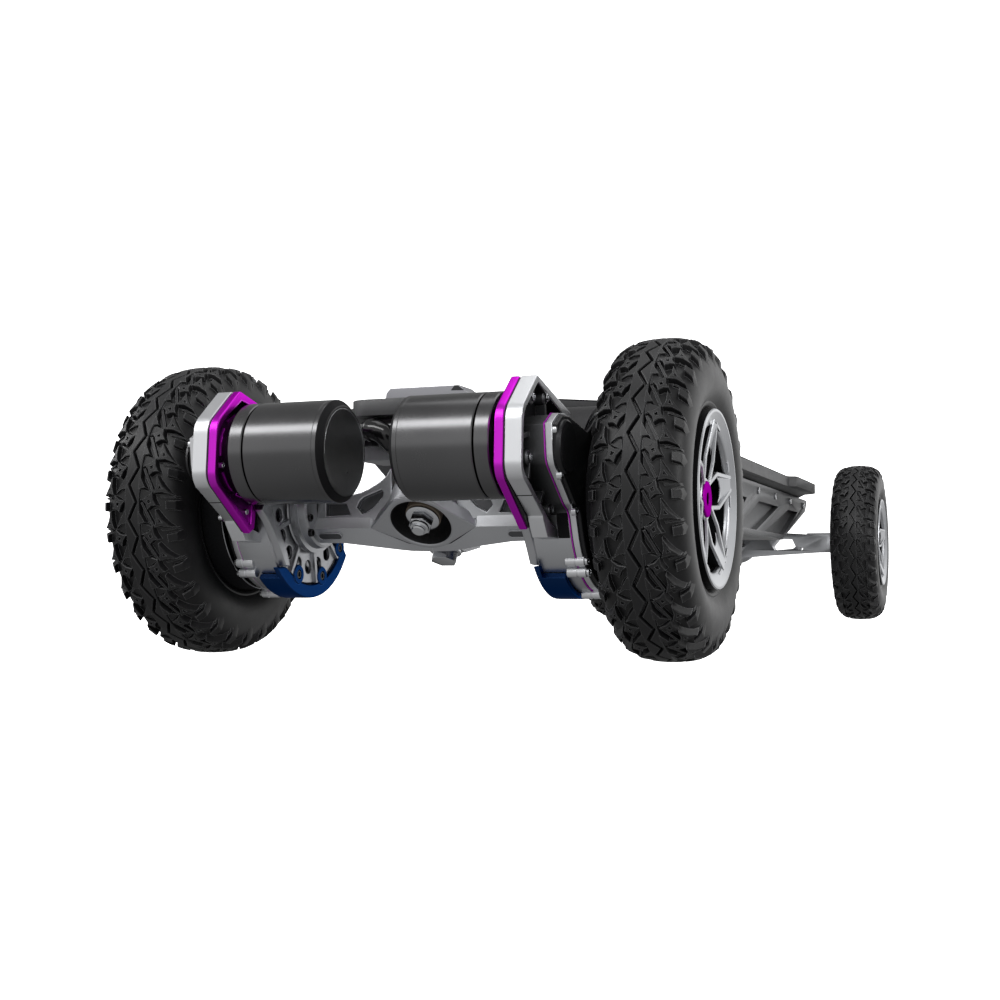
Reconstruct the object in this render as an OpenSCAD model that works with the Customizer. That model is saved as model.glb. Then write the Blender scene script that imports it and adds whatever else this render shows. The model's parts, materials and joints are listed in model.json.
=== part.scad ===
/* [Board] */
// Distance between the front and rear axle lines
wheelbase = 1017; // [990:1:1050]
// Half of the deck's length
deck_half_length = 520; // [515:1:530]
// Half of the deck's width between the flares
deck_half_width = 108; // [104:1:110]
// Half of the deck's width over the flares
flare_half_width = 118; // [114:1:120]
// Height of the standing surface above the ground
deck_top = 172; // [172:0.5:176]
// Thickness of the flat deck slab, without the grip tape
deck_slab = 11; // [10:0.5:11]

/* [Wheels] */
// Outer radius of the tyres
tyre_r = 100; // [99:0.5:101]
// Width of a tyre
tyre_w = 58; // [56:1:60]
// Distance from the centre plane to the middle of a tyre
half_track = 164; // [164:0.5:166]
// Radius of the axle shafts
axle_r = 6; // [5:0.5:6.5]

/* [Drive] */
// Tooth module of the gear train
gear_module = 1.5; // [1.5:0.01:1.51]
// Teeth of the gear on the wheel
wheel_teeth = 60; // [60]
// Teeth of the idler gear
idler_teeth = 19; // [19]
// Teeth of the motor pinion
pinion_teeth = 15; // [15]
// Radius of the motor can
motor_r = 31.8; // [31:0.1:32]
// Angle of the motor above the horizontal, seen from the axle
motor_rise = 19.9; // [19:0.1:21]

/* [Trucks] */
// Angle of the hanger kingpin from the vertical
kingpin_lean = 40; // [39:0.5:41]
// Angle of the steering kingpin from the vertical
steering_lean = 20; // [19:0.5:21]
// Radius of both kingpins
kingpin_r = 5; // [4.5:0.5:5]

/* [Control] */
// Radius of the power button
button_r = 6; // [5:0.5:7]
// Travel of the power button
button_travel = 1.5; // [1:0.1:1.6]

/* [Hidden] */
$fn = 64;

// Clearances: slip between fixed pieces, running between moving ones
slip = 0.02;
running = 0.05;

// Axle places; the origin is on the ground at the middle of the whole length
rear_reach = 118.5;
rear_axle_y = (rear_reach - wheelbase - tyre_r) / 2;
front_axle_y = rear_axle_y + wheelbase;
mid_y = (rear_axle_y + front_axle_y) / 2;
axle_z = tyre_r;

// Deck heights
grip_t = 1;
slab_top = deck_top - grip_t;
slab_bottom = slab_top - deck_slab;
panel_bottom = 154;
frame_in = 90;
frame_out = 100;
tray_bottom = 98;
tray_t = 3;

// Gear train, in the plane across the axle
wheel_idler = gear_module * (wheel_teeth + idler_teeth) / 2;
idler_pinion = gear_module * (idler_teeth + pinion_teeth) / 2;
motor_reach = wheel_idler + idler_pinion;
function drive_point(d) = [-d * cos(motor_rise), d * sin(motor_rise)];
motor_at = drive_point(motor_reach);
idler_at = drive_point(wheel_idler);
train_angle = 180 - motor_rise;

// Stations along the axle, counted outward from the centre plane
can_end = 21.4;
can_open = 75;
base_start = 76;
base_step = 85.5;
magenta_in = 90.5;
magenta_out = 96;
case_in = 90;
plate_in = 97;
plate_out = 107;
flange_in = 115;
gear_in = 107.6;
gear_out = 116.6;
cover_wall = 118.5;
cover_out = 122;
hub_in = 136;
wheel_out = half_track + tyre_w / 2;
cap_out = 187.8;
barrel_r = 58;
shaft_r = 4;
bearing_w = 8;
bearing_r = 14;
inner_bearing = 138;
outer_bearing = 172;

// Truck joints, in the plane of a truck: [towards the middle of the board, up] from the axle line
kingpin_at = [-11.3, -8.3];
steering_at = [25.7, -30.5];
washer_t = 2;

// ---------------------------------------------------------------- helpers

// Extrudes an outline drawn as [y, z] from x0 to x1
module slab_x(x0, x1) {
    translate([x0, 0, 0]) rotate([90, 0, 90]) linear_extrude(x1 - x0) children();
}

// Extrudes an outline drawn as [x, z] from y0 to y1
module slab_y(y0, y1) {
    translate([0, y1, 0]) rotate([90, 0, 0]) linear_extrude(y1 - y0) children();
}

// Extrudes an outline drawn as [x, y] from z0 to z1
module slab_z(z0, z1) {
    translate([0, 0, z0]) linear_extrude(z1 - z0) children();
}

// A round bar along x
module rod_x(x0, x1, r) {
    translate([x0, 0, 0]) rotate([0, 90, 0]) cylinder(h = x1 - x0, r = r);
}

// A round bar along z
module rod_z(z0, z1, r) {
    translate([0, 0, z0]) cylinder(h = z1 - z0, r = r);
}

// A hexagon bar along z
module hex_z(z0, z1, flats) {
    translate([0, 0, z0]) cylinder(h = z1 - z0, r = flats / 2 / cos(30), $fn = 6);
}

// Places a drive or wheel piece; side is 1 on the right and -1 on the left
module on_axle(axle_y, side) {
    translate([0, axle_y, axle_z]) mirror([side < 0 ? 1 : 0, 0, 0]) children();
}

// Places a truck piece: local +Y points to the middle of the board
module on_truck(front) {
    translate([0, front ? front_axle_y : rear_axle_y, axle_z]) mirror([0, front ? 1 : 0, 0]) children();
}

// Draws along the hanger kingpin: local +Z runs up it from its lower washer
module on_kingpin() {
    translate([0, kingpin_at[0], kingpin_at[1]]) rotate([-kingpin_lean, 0, 0]) children();
}

// Draws along the steering kingpin: local +Z runs up it from its head
module on_steering() {
    translate([0, steering_at[0], steering_at[1]]) rotate([-steering_lean, 0, 0]) children();
}

// A point at height s along the steering kingpin and r towards the board's middle
function steering_point(s, r) = [
    steering_at[0] + s * sin(steering_lean) + r * cos(steering_lean),
    steering_at[1] + s * cos(steering_lean) - r * sin(steering_lean)
];

// A point at height t along the hanger kingpin and r towards the board's middle
function kingpin_point(t, r) = [
    kingpin_at[0] + t * sin(kingpin_lean) + r * cos(kingpin_lean),
    kingpin_at[1] + t * cos(kingpin_lean) - r * sin(kingpin_lean)
];

// ------------------------------------------------------------------ gears

pressure = 20;
backlash = 0.3;
addendum = 0.8;
dedendum = 1.25;
function involute(a) = tan(a) * 180 / PI - a;

// Half the angle of a tooth at radius r, for a gear of n teeth
function half_tooth(r, n, rp) = let (rb = rp * cos(pressure))
    90 / n - backlash / 4 / rp * 180 / PI + involute(pressure) - involute(acos(min(1, rb / max(r, rb))));

// A spur gear's outline, with one tooth pointing along the angle phase
module gear_outline(n, phase) {
    rp = gear_module * n / 2;
    radii = [for (k = [-dedendum, -0.6, -0.2, 0.3, addendum]) rp + k * gear_module];
    polygon([for (i = [0 : n - 1], side = [-1, 1], k = [0 : len(radii) - 1])
        let (r = radii[side < 0 ? k : len(radii) - 1 - k], a = phase + 360 * i / n + side * half_tooth(r, n, rp))
        r * [cos(a), sin(a)]]);
}

// ------------------------------------------------------------------- deck

tail_half = 57;
flare_end = 430;
flare_start = 290;
panel_half = 95;

// Corner points of a quarter of the deck, from the tail to the middle
function deck_quarter() = [
    [tail_half - 14, deck_half_length],
    [tail_half - 7, deck_half_length - 2],
    [tail_half - 2, deck_half_length - 7],
    [tail_half, deck_half_length - 14],
    [tail_half + 8, deck_half_length - 40],
    [flare_half_width - 6, flare_end + 14],
    [flare_half_width, flare_end],
    [flare_half_width, flare_start],
    [flare_half_width - 2, flare_start - 5],
    [deck_half_width + 1.5, flare_start - 9],
    [deck_half_width, flare_start - 14]
];

module deck_outline() {
    quarter = deck_quarter();
    n = len(quarter);
    polygon(concat(
        quarter,
        [for (i = [n - 1 : -1 : 0]) [quarter[i][0], -quarter[i][1]]],
        [for (i = [0 : n - 1]) [-quarter[i][0], -quarter[i][1]]],
        [for (i = [n - 1 : -1 : 0]) [-quarter[i][0], quarter[i][1]]]
    ));
}

// Plan places of the four bolts that hold a truck base, from the axle line
bolt_x = 46;
bolt_y = [6, 64];
bolt_r = 3;
module at_base_bolts() {
    for (front = [false, true], x = [-bolt_x, bolt_x], y = bolt_y)
        on_truck(front) translate([x, y, -axle_z]) children();
}

module deck() {
    color("#2b2c2f") difference() {
        translate([0, mid_y, 0]) union() {
            slab_z(slab_bottom, slab_top) deck_outline();
            slab_y(-flare_end, flare_end) polygon([
                [-panel_half, panel_bottom], [panel_half, panel_bottom],
                [deck_half_width, slab_bottom], [-deck_half_width, slab_bottom]
            ]);
            slab_z(panel_bottom, slab_bottom)
                square([2 * (tail_half - 3), 2 * (deck_half_length - 22)], center = true);
        }
        at_base_bolts() rod_z(panel_bottom - 1, slab_top - 4, bolt_r + slip);
        on_tail() translate([button_x, 0, 0]) rod_z(slab_top - 4.5 - button_travel, slab_top + 1, button_r + 2);
    }
}

module grip_tape() {
    color("#1a1a1b") difference() {
        translate([0, mid_y, 0]) slab_z(slab_top, deck_top) intersection() {
            deck_outline();
            square([4 * flare_half_width, 2 * (deck_half_length - 34)], center = true);
        }
    }
}

// ------------------------------------------------------------- side frames

// Half of the frame's side view as [y, z]: a long top rail and a shallow sloped end
frame_rear_end = 400;
frame_front_end = 478;
frame_rail = 139;
frame_rear_heel = 315;
frame_front_heel = 327;
function frame_half(end, heel) = [
    [end, panel_bottom], [end, frame_rail + 10], [end - 14, frame_rail],
    [heel, tray_bottom + 10], [heel - 27, tray_bottom + 3], [heel - 39, tray_bottom]
];

module frame_outline() {
    polygon(concat(
        frame_half(frame_front_end, frame_front_heel),
        across(frame_half(frame_rear_end, frame_rear_heel))
    ));
}

// Openings of the truss: its struts lean outward from the middle of the board
window_low = tray_bottom + 6;
window_high = frame_rail - 3.5;
module frame_windows() {
    polygon([[-70, window_high], [70, window_high], [8, window_low + 4], [-8, window_low + 4]]);
    for (side = [-1, 1]) scale([side, 1])
        polygon([[22, window_low], [122, window_low], [263, window_high], [140, window_high]]);
    polygon([[168, window_low], [292, window_low], [318, window_low + 6], [404, window_high], [332, window_high]]);
    polygon([[-168, window_low], [-280, window_low], [-310, window_low + 8], [-368, window_high], [-332, window_high]]);
}

screw_r = 2;
frame_screw_y = [for (i = [0 : 8]) -388 + i * 104];
module side_frame(side) {
    color("#34363a") translate([0, mid_y, 0]) mirror([side < 0 ? 1 : 0, 0, 0]) difference() {
        slab_x(frame_in, frame_out) frame_outline();
        slab_x(frame_in + 3, frame_out + 1) frame_windows();
        for (y = frame_screw_y)
            translate([0, y, frame_rail + 7]) rod_x(frame_in + 2, frame_out + 1, screw_r + slip);
        if (side < 0)
            translate([0, port_y, port_z]) rod_x(frame_in - 1, frame_out + 1, port_r + slip);
    }
}

module frame_screws() {
    color("#b9bcc2") translate([0, mid_y, 0])
        for (side = [0, 1], y = frame_screw_y) mirror([side, 0, 0]) translate([0, y, frame_rail + 7])
            difference() {
                union() {
                    rod_x(frame_in + 3, frame_out, screw_r);
                    rod_x(frame_out, frame_out + 2, screw_r + 1.6);
                }
                translate([frame_out + 1, 0, 0]) rotate([0, 90, 0]) cylinder(h = 2, r = 1.4, $fn = 6);
            }
}

// ---------------------------------------------------------- battery, drive

// Half of the tray's outer line as [y, z], from its end to its flat bottom; t moves it inward
function tray_half(end, heel, t) = [
    [end - t, panel_bottom + t], [end - t, frame_rail + 2 + t],
    [heel, tray_bottom + 10 + t], [heel - 39, tray_bottom + t]
];
function across(points) = [for (i = [len(points) - 1 : -1 : 0]) [-points[i][0], points[i][1]]];
tray_front_end = 424;
tray_rear_end = 396;
module tray_outline(t) {
    polygon(concat(
        tray_half(tray_front_end, frame_front_heel, t),
        across(tray_half(tray_rear_end, frame_rear_heel, t))
    ));
}

module battery_tray() {
    color("#3a3c40") translate([0, mid_y, 0]) slab_x(-frame_in, frame_in) difference() {
        tray_outline(0);
        tray_outline(tray_t);
    }
}

// Cells lie across the board in two layers and two columns
cell_r = 10.5;
cell_l = 70;
cell_pitch = 22;
cell_rows = 14;
cell_start = -40;
tray_floor = tray_bottom + tray_t + running;
module battery_cells() {
    color("#3d6fb4") translate([0, mid_y, 0])
        for (x = [-78, 8], i = [0 : cell_rows - 1], layer = [0, 1])
            translate([0, cell_start + i * cell_pitch, tray_floor + cell_r + layer * (2 * cell_r + 0.5)])
                rod_x(x, x + cell_l, cell_r);
}

// Finned box that drives both motors
module motor_controller() {
    color("#6b6f76") translate([0, mid_y, 0]) union() {
        translate([-70, -250, tray_floor]) cube([140, 150, 26]);
        for (i = [0 : 10])
            translate([-66 + i * 13, -246, tray_floor + 26]) cube([3, 142, 12]);
    }
}

port_y = 300;
port_z = 122;
port_r = 11;
socket_r = 8;
socket_depth = 6;
// Round charging socket on the left frame, with a flange outside and a body inside
module charge_port() {
    color("#121214") translate([0, mid_y + port_y, port_z]) mirror([1, 0, 0]) difference() {
        union() {
            rod_x(frame_in - 14, frame_out, port_r);
            rod_x(frame_out, frame_out + 2, port_r + 3);
        }
        rod_x(frame_out + 2 - socket_depth, frame_out + 3, socket_r);
    }
}

// ----------------------------------------------------------- tail controls

plate_half = 29.5;
plate_len = 24;
plate_top = 178;
button_x = 16;
tail_plate_y = -504;
module on_tail() {
    translate([0, mid_y + tail_plate_y, 0]) children();
}

// Chamfered plate on the tail that carries the power button
module tail_plate() {
    color("#8f9196") on_tail() difference() {
        slab_y(-plate_len / 2, plate_len / 2) polygon([
            [-plate_half, slab_top], [plate_half, slab_top], [plate_half - 2, slab_top + 3],
            [plate_half - 7, plate_top], [7 - plate_half, plate_top], [2 - plate_half, slab_top + 3]
        ]);
        translate([button_x, 0, 0]) rod_z(slab_top - 1, plate_top + 1, button_r + running);
        translate([button_x, 0, 0]) rod_z(plate_top - 2, plate_top + 1, button_r + 3);
    }
}

// Round button with a retaining flange under the plate
module power_button() {
    color("#101012") on_tail() translate([button_x, 0, 0]) union() {
        rod_z(slab_top - 4, plate_top - 0.4, button_r);
        rod_z(slab_top - 4, slab_top - 2, button_r + 1.5);
    }
}

// ------------------------------------------------------------- truck bases

base_top = panel_bottom - axle_z;
base_plate_bottom = 46;
wing_bottom = 32;
upright_in = 56;
upright_out = 70;

// Base that bolts under the deck and ends in the eye for the steering kingpin
module baseplate(front) {
    color("#c9ccd1") on_truck(front) difference() {
        union() {
            slab_z(base_plate_bottom, base_top) polygon([
                [-60, -2], [-52, -10], [52, -10], [60, -2], [60, 72], [52, 80], [-52, 80], [-60, 72]
            ]);
            for (x = [-60, 32]) translate([x, 14, wing_bottom]) cube([28, 40, base_plate_bottom - wing_bottom]);
            slab_x(-11, 11) polygon([
                steering_point(13, 0), steering_point(13, 13), [upright_in, -17], [upright_in, base_top - 4],
                [upright_out, base_top - 4], [upright_out, -18], [62, -27],
                steering_point(3, 9), steering_point(3, 0)
            ]);
            on_steering() rod_z(washer_t, 14, 12);
        }
        on_steering() rod_z(washer_t - 1, 30, kingpin_r + slip);
        for (x = [-bolt_x, bolt_x], y = bolt_y)
            translate([x, y, 0]) rod_z(wing_bottom - 1, base_top + 1, bolt_r + slip);
        for (x = [-bolt_x, bolt_x]) translate([x, bolt_y[0], 0]) rod_z(wing_bottom - 1, base_plate_bottom, 7);
    }
}

// Hexagon-head bolts from below, through the base and into the deck
module base_bolts() {
    color("#2c2d30") at_base_bolts() union() {
        rod_z(axle_z + base_plate_bottom, slab_top - 5, bolt_r);
        hex_z(axle_z + base_plate_bottom - 5, axle_z + base_plate_bottom, 10);
    }
}

steering_seat = 31.5;
ball_r = 13;
steering_end = 61;
nut_flats = 16;

// Bolt with its head below, washers and a locking nut on top
module steering_kingpins() {
    color("#b4b7bc") for (front = [false, true]) on_truck(front) on_steering() union() {
        hex_z(-7, 0, nut_flats);
        rod_z(0, washer_t, 11);
        rod_z(0, steering_end, kingpin_r);
        rod_z(48, 50, 9.5);
        hex_z(50, 58, nut_flats - 1);
    }
}

module steering_bushings() {
    color("#b08d5a") for (front = [false, true]) on_truck(front) on_steering()
        for (z = [[14, steering_seat - 5], [steering_seat + 5, 48]]) difference() {
            rod_z(z[0], z[1], 11);
            rod_z(z[0] - 1, z[1] + 1, kingpin_r + slip);
            translate([0, 0, steering_seat]) sphere(ball_r + running);
        }
}

// Black grommets under the rear base, where the motor leads enter it
module cable_glands() {
    color("#151517") for (x = [-28, 28]) on_truck(false) translate([x, 0, 0]) union() {
        rod_z(39, base_plate_bottom, 7);
        rod_z(35, 39, 5);
    }
}

// ------------------------------------------------------------ pivot blocks

kingpin_eye = [31, 43];
kingpin_head = 49;
kingpin_end = -12;

// Block between the two kingpins: a ball seat tilts on the upper one, an eye holds the lower one
module pivot_block(front) {
    color("#bfc2c7") on_truck(front) difference() {
        union() {
            on_kingpin() rod_z(kingpin_eye[0], kingpin_eye[1], 15);
            on_steering() translate([0, 0, steering_seat]) sphere(ball_r);
            on_steering() rod_z(steering_seat - 3.5, steering_seat + 3.5, ball_r + 1.5);
            slab_x(-11, 11) polygon([
                kingpin_point(kingpin_eye[0] + 1.5, 7), kingpin_point(kingpin_eye[1] - 0.6, 7),
                steering_point(steering_seat + 4, -9), steering_point(steering_seat - 4, -9)
            ]);
        }
        on_kingpin() rod_z(kingpin_eye[0] - 1, kingpin_eye[1] + 1, kingpin_r + slip);
        on_steering() rod_z(steering_seat - ball_r - 1, steering_seat + ball_r + 1, kingpin_r + 1);
    }
}

// Bolt through the hanger with its head on the pivot block, washer and locking nut below
module kingpin(front) {
    color("#d0d3d8") on_truck(front) on_kingpin() union() {
        rod_z(kingpin_end, kingpin_eye[1], kingpin_r);
        hex_z(kingpin_eye[1], kingpin_head, nut_flats);
        rod_z(-1.8, 0, 9.3);
        hex_z(-9.5, -1.8, nut_flats - 1);
    }
}

seat = 16.5;
// Bushings below and above the hanger's ball seat, each cupped to it
module bushings(front) {
    color("#c2a06a") on_truck(front) on_kingpin()
        for (z = [[0, seat - 4], [seat + 4, kingpin_eye[0]]]) difference() {
            rod_z(z[0], z[1], 12);
            rod_z(z[0] - 1, z[1] + 1, kingpin_r + slip);
            translate([0, 0, seat]) sphere(ball_r + running);
        }
}

// ---------------------------------------------------------------- hangers

ring_r = 24;
ring_ends = [-5, seat + 3.5];
web = [seat - 2, seat + 2];
cup_r = 20;
arm_end = case_in;

// Centre ring about the kingpin, with a cup for the lower bushing
module hanger_ring() {
    on_kingpin() rod_z(ring_ends[0], ring_ends[1], ring_r);
}

module hanger_ring_bores() {
    on_kingpin() union() {
        difference() {
            union() {
                rod_z(ring_ends[0] - 14, 3, cup_r);
                translate([0, 0, 3]) cylinder(h = web[0] - 3, r1 = cup_r, r2 = 15);
                rod_z(web[1], web[1] + 32, 18);
            }
            translate([0, 0, seat]) sphere(ball_r);
        }
        rod_z(seat - ball_r - 1, seat + ball_r + 1, kingpin_r + 1.5);
    }
}

// Outline of the right arm of the rear hanger as [x, z], its openings follow
module rear_arm_outline() {
    polygon([
        [0, -30.4], [12, -30], [58, -24.5], [arm_end, -24.5], [arm_end, 14],
        [62, 9], [44, 10], [32, 16], [22, 24], [0, 24]
    ]);
}

module rear_hanger() {
    color("#b3b6bb") on_truck(false) difference() {
        union() {
            hanger_ring();
            for (side = [0, 1]) mirror([side, 0, 0]) {
                slab_y(-17, 5) polygon([
                    [0, -30.4], [12, -30], [58, -24.5], [arm_end, -24.5], [arm_end, -11], [36, -11], [20, -2], [0, -2]
                ]);
                slab_y(-10, 3) rear_arm_outline();
                rod_x(26, arm_end, 15);
                rod_x(82, arm_end, 34);
            }
        }
        hanger_ring_bores();
        for (side = [0, 1]) mirror([side, 0, 0]) {
            rod_x(28, arm_end + 1, axle_r + slip);
            // weight-saving pocket and slot in the rear face of each arm
            slab_y(-18, -6) translate([52, 1]) polygon([[-8, -7], [26, -7], [26, 4], [8, 5], [-8, 4]]);
            slab_y(-18, -13) hull() for (x = [66, 76]) translate([x, -19.5]) circle(2.6, $fn = 24);
        }
    }
}

// Flat front arm with a window, a small hole and a boss at the wheel
front_arm_end = 130;
module front_hanger() {
    color("#b3b6bb") on_truck(true) difference() {
        union() {
            hanger_ring();
            for (side = [0, 1]) mirror([side, 0, 0]) {
                slab_y(-8, 14) polygon([
                    [0, -28], [12, -19.4], [35, -17.3], [front_arm_end - 5, -12], [front_arm_end, -8],
                    [front_arm_end, 8], [front_arm_end - 5, 9], [74, 12.5], [40, 15], [22, 22], [0, 24]
                ]);
                rod_x(96, front_arm_end, 13);
            }
        }
        hanger_ring_bores();
        for (side = [0, 1]) mirror([side, 0, 0]) {
            rod_x(86, front_arm_end + 1, axle_r + slip);
            slab_y(-9, 15) polygon([[52, -4.5], [55, -9.7], [79, -7.8], [82.5, -5], [78, 4.8], [60, 5.6]]);
            translate([90, 15, -8]) rotate([90, 0, 0]) cylinder(h = 24, r = 2.2);
        }
    }
}

axle_root = 28;
front_axle_root = 86;
cap_in = outer_bearing + bearing_w + 0.6;
module axles(axle_y, root) {
    color("#9fa3a9") for (side = [-1, 1]) on_axle(axle_y, side) rod_x(root, cap_out - 2, axle_r);
}

// Anodised cap that screws onto each axle end and holds the outer bearing
module axle_caps(axle_y) {
    color("#c22cc6") for (side = [-1, 1]) on_axle(axle_y, side) difference() {
        union() {
            rod_x(cap_in, cap_out - 1, 11.4);
            rod_x(cap_out - 1, cap_out, 10);
        }
        rod_x(cap_in - 1, cap_out - 2, axle_r + slip);
    }
}

// -------------------------------------------------------------- drive unit

// Rear lobe of the motor mounting as [y, z] from the axle line
function lobe() = [
    [-89.5, 69], [-116.5, 46.5], [-rear_reach, 10], [-77.5, -12.5], [-67, -22], [-45, -30],
    [0, -40], [0, 47], [-41.6, 57]
];

// Outline of the plate that carries the motor
function motor_plate_outline() = [
    [-89.5, 69], [-116.5, 46.5], [-rear_reach, 10], [-76.5, -20], [-71, -17], [-66, -4],
    [-30, 0], [-30, 54], [-41.6, 57]
];

motor_screw_r = 16;
module at_motor() {
    translate([0, motor_at[0], motor_at[1]]) children();
}
module at_idler() {
    translate([0, idler_at[0], idler_at[1]]) children();
}
module around_motor(r) {
    for (a = [45 : 90 : 315]) translate([0, r * cos(a), r * sin(a)]) children();
}

// Places of the screws that join the two motor plates
plate_screws = [[-96, 58], [-110, 14], [-80, -8], [-60, 52]];
module at_plate_screws() {
    for (p = plate_screws) translate([0, p[0], p[1]]) children();
}

// Anodised plate that the motor is screwed to
module motor_plate(side) {
    color("#b821bd") on_axle(rear_axle_y, side) difference() {
        slab_x(magenta_in, magenta_out) difference() {
            polygon(motor_plate_outline());
            circle(barrel_r + 3);
        }
        at_motor() rod_x(magenta_in - 1, magenta_out + 1, 8);
        at_motor() around_motor(motor_screw_r) rod_x(magenta_in - 1, magenta_out + 1, 2 + slip);
        at_plate_screws() rod_x(magenta_in - 1, magenta_out + 1, 2 + slip);
    }
}

// Fixed base of the motor with its stator, which reaches into the can
module motor_base(side) {
    color("#26272b") on_axle(rear_axle_y, side) at_motor() difference() {
        union() {
            rod_x(32, base_start, 24);
            rod_x(base_start, base_step, motor_r);
            rod_x(base_step, magenta_in, 25);
        }
        rod_x(31, magenta_in + 1, shaft_r + running);
        rod_x(40, 70, 14);
        around_motor(motor_screw_r) rod_x(base_step - 4, magenta_in + 1, 2 + slip);
    }
}

// Turning can with its end cap and the shaft that carries the pinion
module motor_can(side) {
    color("#1d1e22") on_axle(rear_axle_y, side) at_motor() union() {
        difference() {
            union() {
                rod_x(can_end + 2, can_open, motor_r);
                rod_x(can_end, can_end + 2, motor_r - 1.2);
            }
            rod_x(can_end + 5, can_open + 1, motor_r - 4);
        }
        rod_x(can_end + 3, gear_out, shaft_r);
    }
}

module pinion(side) {
    color("#a9adb3") on_axle(rear_axle_y, side) at_motor() difference() {
        slab_x(gear_in, gear_out) gear_outline(pinion_teeth, train_angle + 180 + 180 / pinion_teeth);
        rod_x(gear_in - 1, gear_out + 1, shaft_r + slip);
    }
}

journal_r = 4;
module idler_gear(side) {
    color("#a9adb3") on_axle(rear_axle_y, side) at_idler() union() {
        slab_x(gear_in, gear_out) gear_outline(idler_teeth, train_angle);
        rod_x(plate_in + 2, cover_out - 1, journal_r);
        rod_x(plate_out + 0.2, cover_wall - 0.2, 7);
    }
}

// Inside of the gear housing, grown by extra
module gear_room(extra) {
    circle(48 + extra);
    translate(idler_at) circle(17 + extra);
    translate(motor_at) rotate(22.5) circle(20 + extra, $fn = 8);
    rotate(train_angle) translate([0, -15 - extra]) square([motor_reach, 30 + 2 * extra]);
}

room_wall = 4;
boss_radius = 3.7;
ring_out = 54;
boss_angles = [-150, -100, -55, -10, 35, 80, 118];
module at_bosses() {
    for (a = boss_angles) translate([0, ring_out * cos(a), ring_out * sin(a)]) children();
}

// Thick plate behind the gears: it spans the motor and the axle, and carries a ring of screw bosses
module drive_plate(side) {
    color("#d8dade") on_axle(rear_axle_y, side) difference() {
        union() {
            slab_x(plate_in, plate_out) union() {
                polygon(lobe());
                circle(barrel_r);
            }
            difference() {
                slab_x(plate_out - 1, flange_in) circle(ring_out);
                slab_x(plate_out, flange_in + 1) gear_room(0);
            }
            at_bosses() rod_x(plate_out - 1, flange_in, boss_radius);
            at_plate_screws() rod_x(magenta_out, plate_in + 1, 5);
        }
        // pockets on the outer side, between the outline and the gear room
        slab_x(plate_in + 4, plate_out + 1) difference() {
            offset(delta = -5) polygon(lobe());
            gear_room(room_wall + 3);
            circle(barrel_r + 4);
            at_pocket_ribs();
        }
        rod_x(plate_in - 1, plate_out + 1, 26);
        at_motor() rod_x(plate_in - 1, plate_out + 1, 8);
        at_motor() rod_x(plate_in - 1, plate_in + 4, 19);
        at_idler() rod_x(plate_in + 1.9, plate_out + 1, journal_r + running);
        at_plate_screws() rod_x(magenta_out - 1, plate_out + 1, 2 + slip);
        at_bosses() rod_x(flange_in - 6, flange_in + 1, 2 + slip);
        at_spider_screws() rod_x(plate_in - 1, plate_in + 6, 2 + slip);
    }
}

// Ribs across the pockets, as bars in the plane of the plate
module at_pocket_ribs() {
    translate(motor_at) for (a = [75, 130, 185, 240]) rotate(a) translate([0, -2]) square([60, 4]);
    for (p = plate_screws) translate(p) circle(5.5);
}

spider_r = 48.7;
spider_angles = [-109, -71, -33, 5, 43, 81, 119];
module at_spider_screws() {
    for (a = spider_angles) translate([0, spider_r * cos(a), spider_r * sin(a)]) children();
}

// Ribbed case wall on the hanger side, concentric with the axle
spider_hole_angles = [for (a = [-162 : 18 : 162]) a];
module gear_case(side) {
    color("#cfd2d6") on_axle(rear_axle_y, side) difference() {
        union() {
            slab_x(case_in + 2, plate_in) circle(barrel_r);
            slab_x(case_in, case_in + 3) difference() {
                circle(barrel_r);
                circle(barrel_r - 3);
            }
            slab_x(case_in, case_in + 3) circle(30);
            slab_x(case_in, case_in + 3) for (a = spider_hole_angles) rotate(a + 9)
                translate([0, -1.2]) square([barrel_r - 1, 2.4]);
            at_spider_screws() rod_x(case_in, case_in + 3, 5);
            rod_x(plate_in - 1, plate_out, 26 - slip);
        }
        rod_x(case_in - 1, plate_out + 1, axle_r + slip);
        slab_x(case_in + 1.9, case_in + 5.5) for (a = spider_hole_angles) rotate(a) translate([39, 0]) circle(4, $fn = 24);
        at_spider_screws() rod_x(case_in - 1, plate_in + 1, 2 + slip);
    }
}

guard_face = 86;
guard_out = 104;
// Half-round blue guards under the gear cases
module gear_guards() {
    color("#1b2f70") for (side = [-1, 1]) on_axle(rear_axle_y, side) difference() {
        union() {
            slab_x(guard_face, case_in) guard_sector(43, 62);
            slab_x(case_in, guard_out) guard_sector(barrel_r + 0.3, 62);
        }
        for (a = [-109, -71, -33]) translate([0, spider_r * cos(a), spider_r * sin(a)])
            rod_x(guard_face - 1, case_in + 1, 2 + slip);
    }
}

module guard_sector(r0, r1) {
    difference() {
        intersection() {
            circle(r1);
            polygon([[0, 0], [-34, -70], [60, -70], [80, -12]]);
        }
        circle(r0);
    }
}

// Black housing outside the gears, open around the wheel's spigot
module gear_cover(side) {
    color("#131315") on_axle(rear_axle_y, side) difference() {
        union() {
            slab_x(plate_out, flange_in + 1) difference() {
                gear_room(room_wall);
                circle(ring_out + slip);
                at_bosses_outline();
            }
            slab_x(flange_in, cover_out - 1) union() {
                gear_room(room_wall);
                circle(ring_out);
                at_bosses_outline();
            }
            slab_x(cover_out - 1.5, cover_out) gear_room(room_wall - 1);
            at_motor() rod_x(cover_out - 1, cover_out + 2, 15);
        }
        slab_x(plate_out - 1, cover_wall) gear_room(0);
        rod_x(cover_wall - 1, cover_out + 3, 31);
        at_idler() rod_x(cover_wall - 1, cover_out - 0.9, journal_r + running);
        at_bosses() rod_x(flange_in - 1, cover_out + 1, 2 + slip);
    }
}

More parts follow.
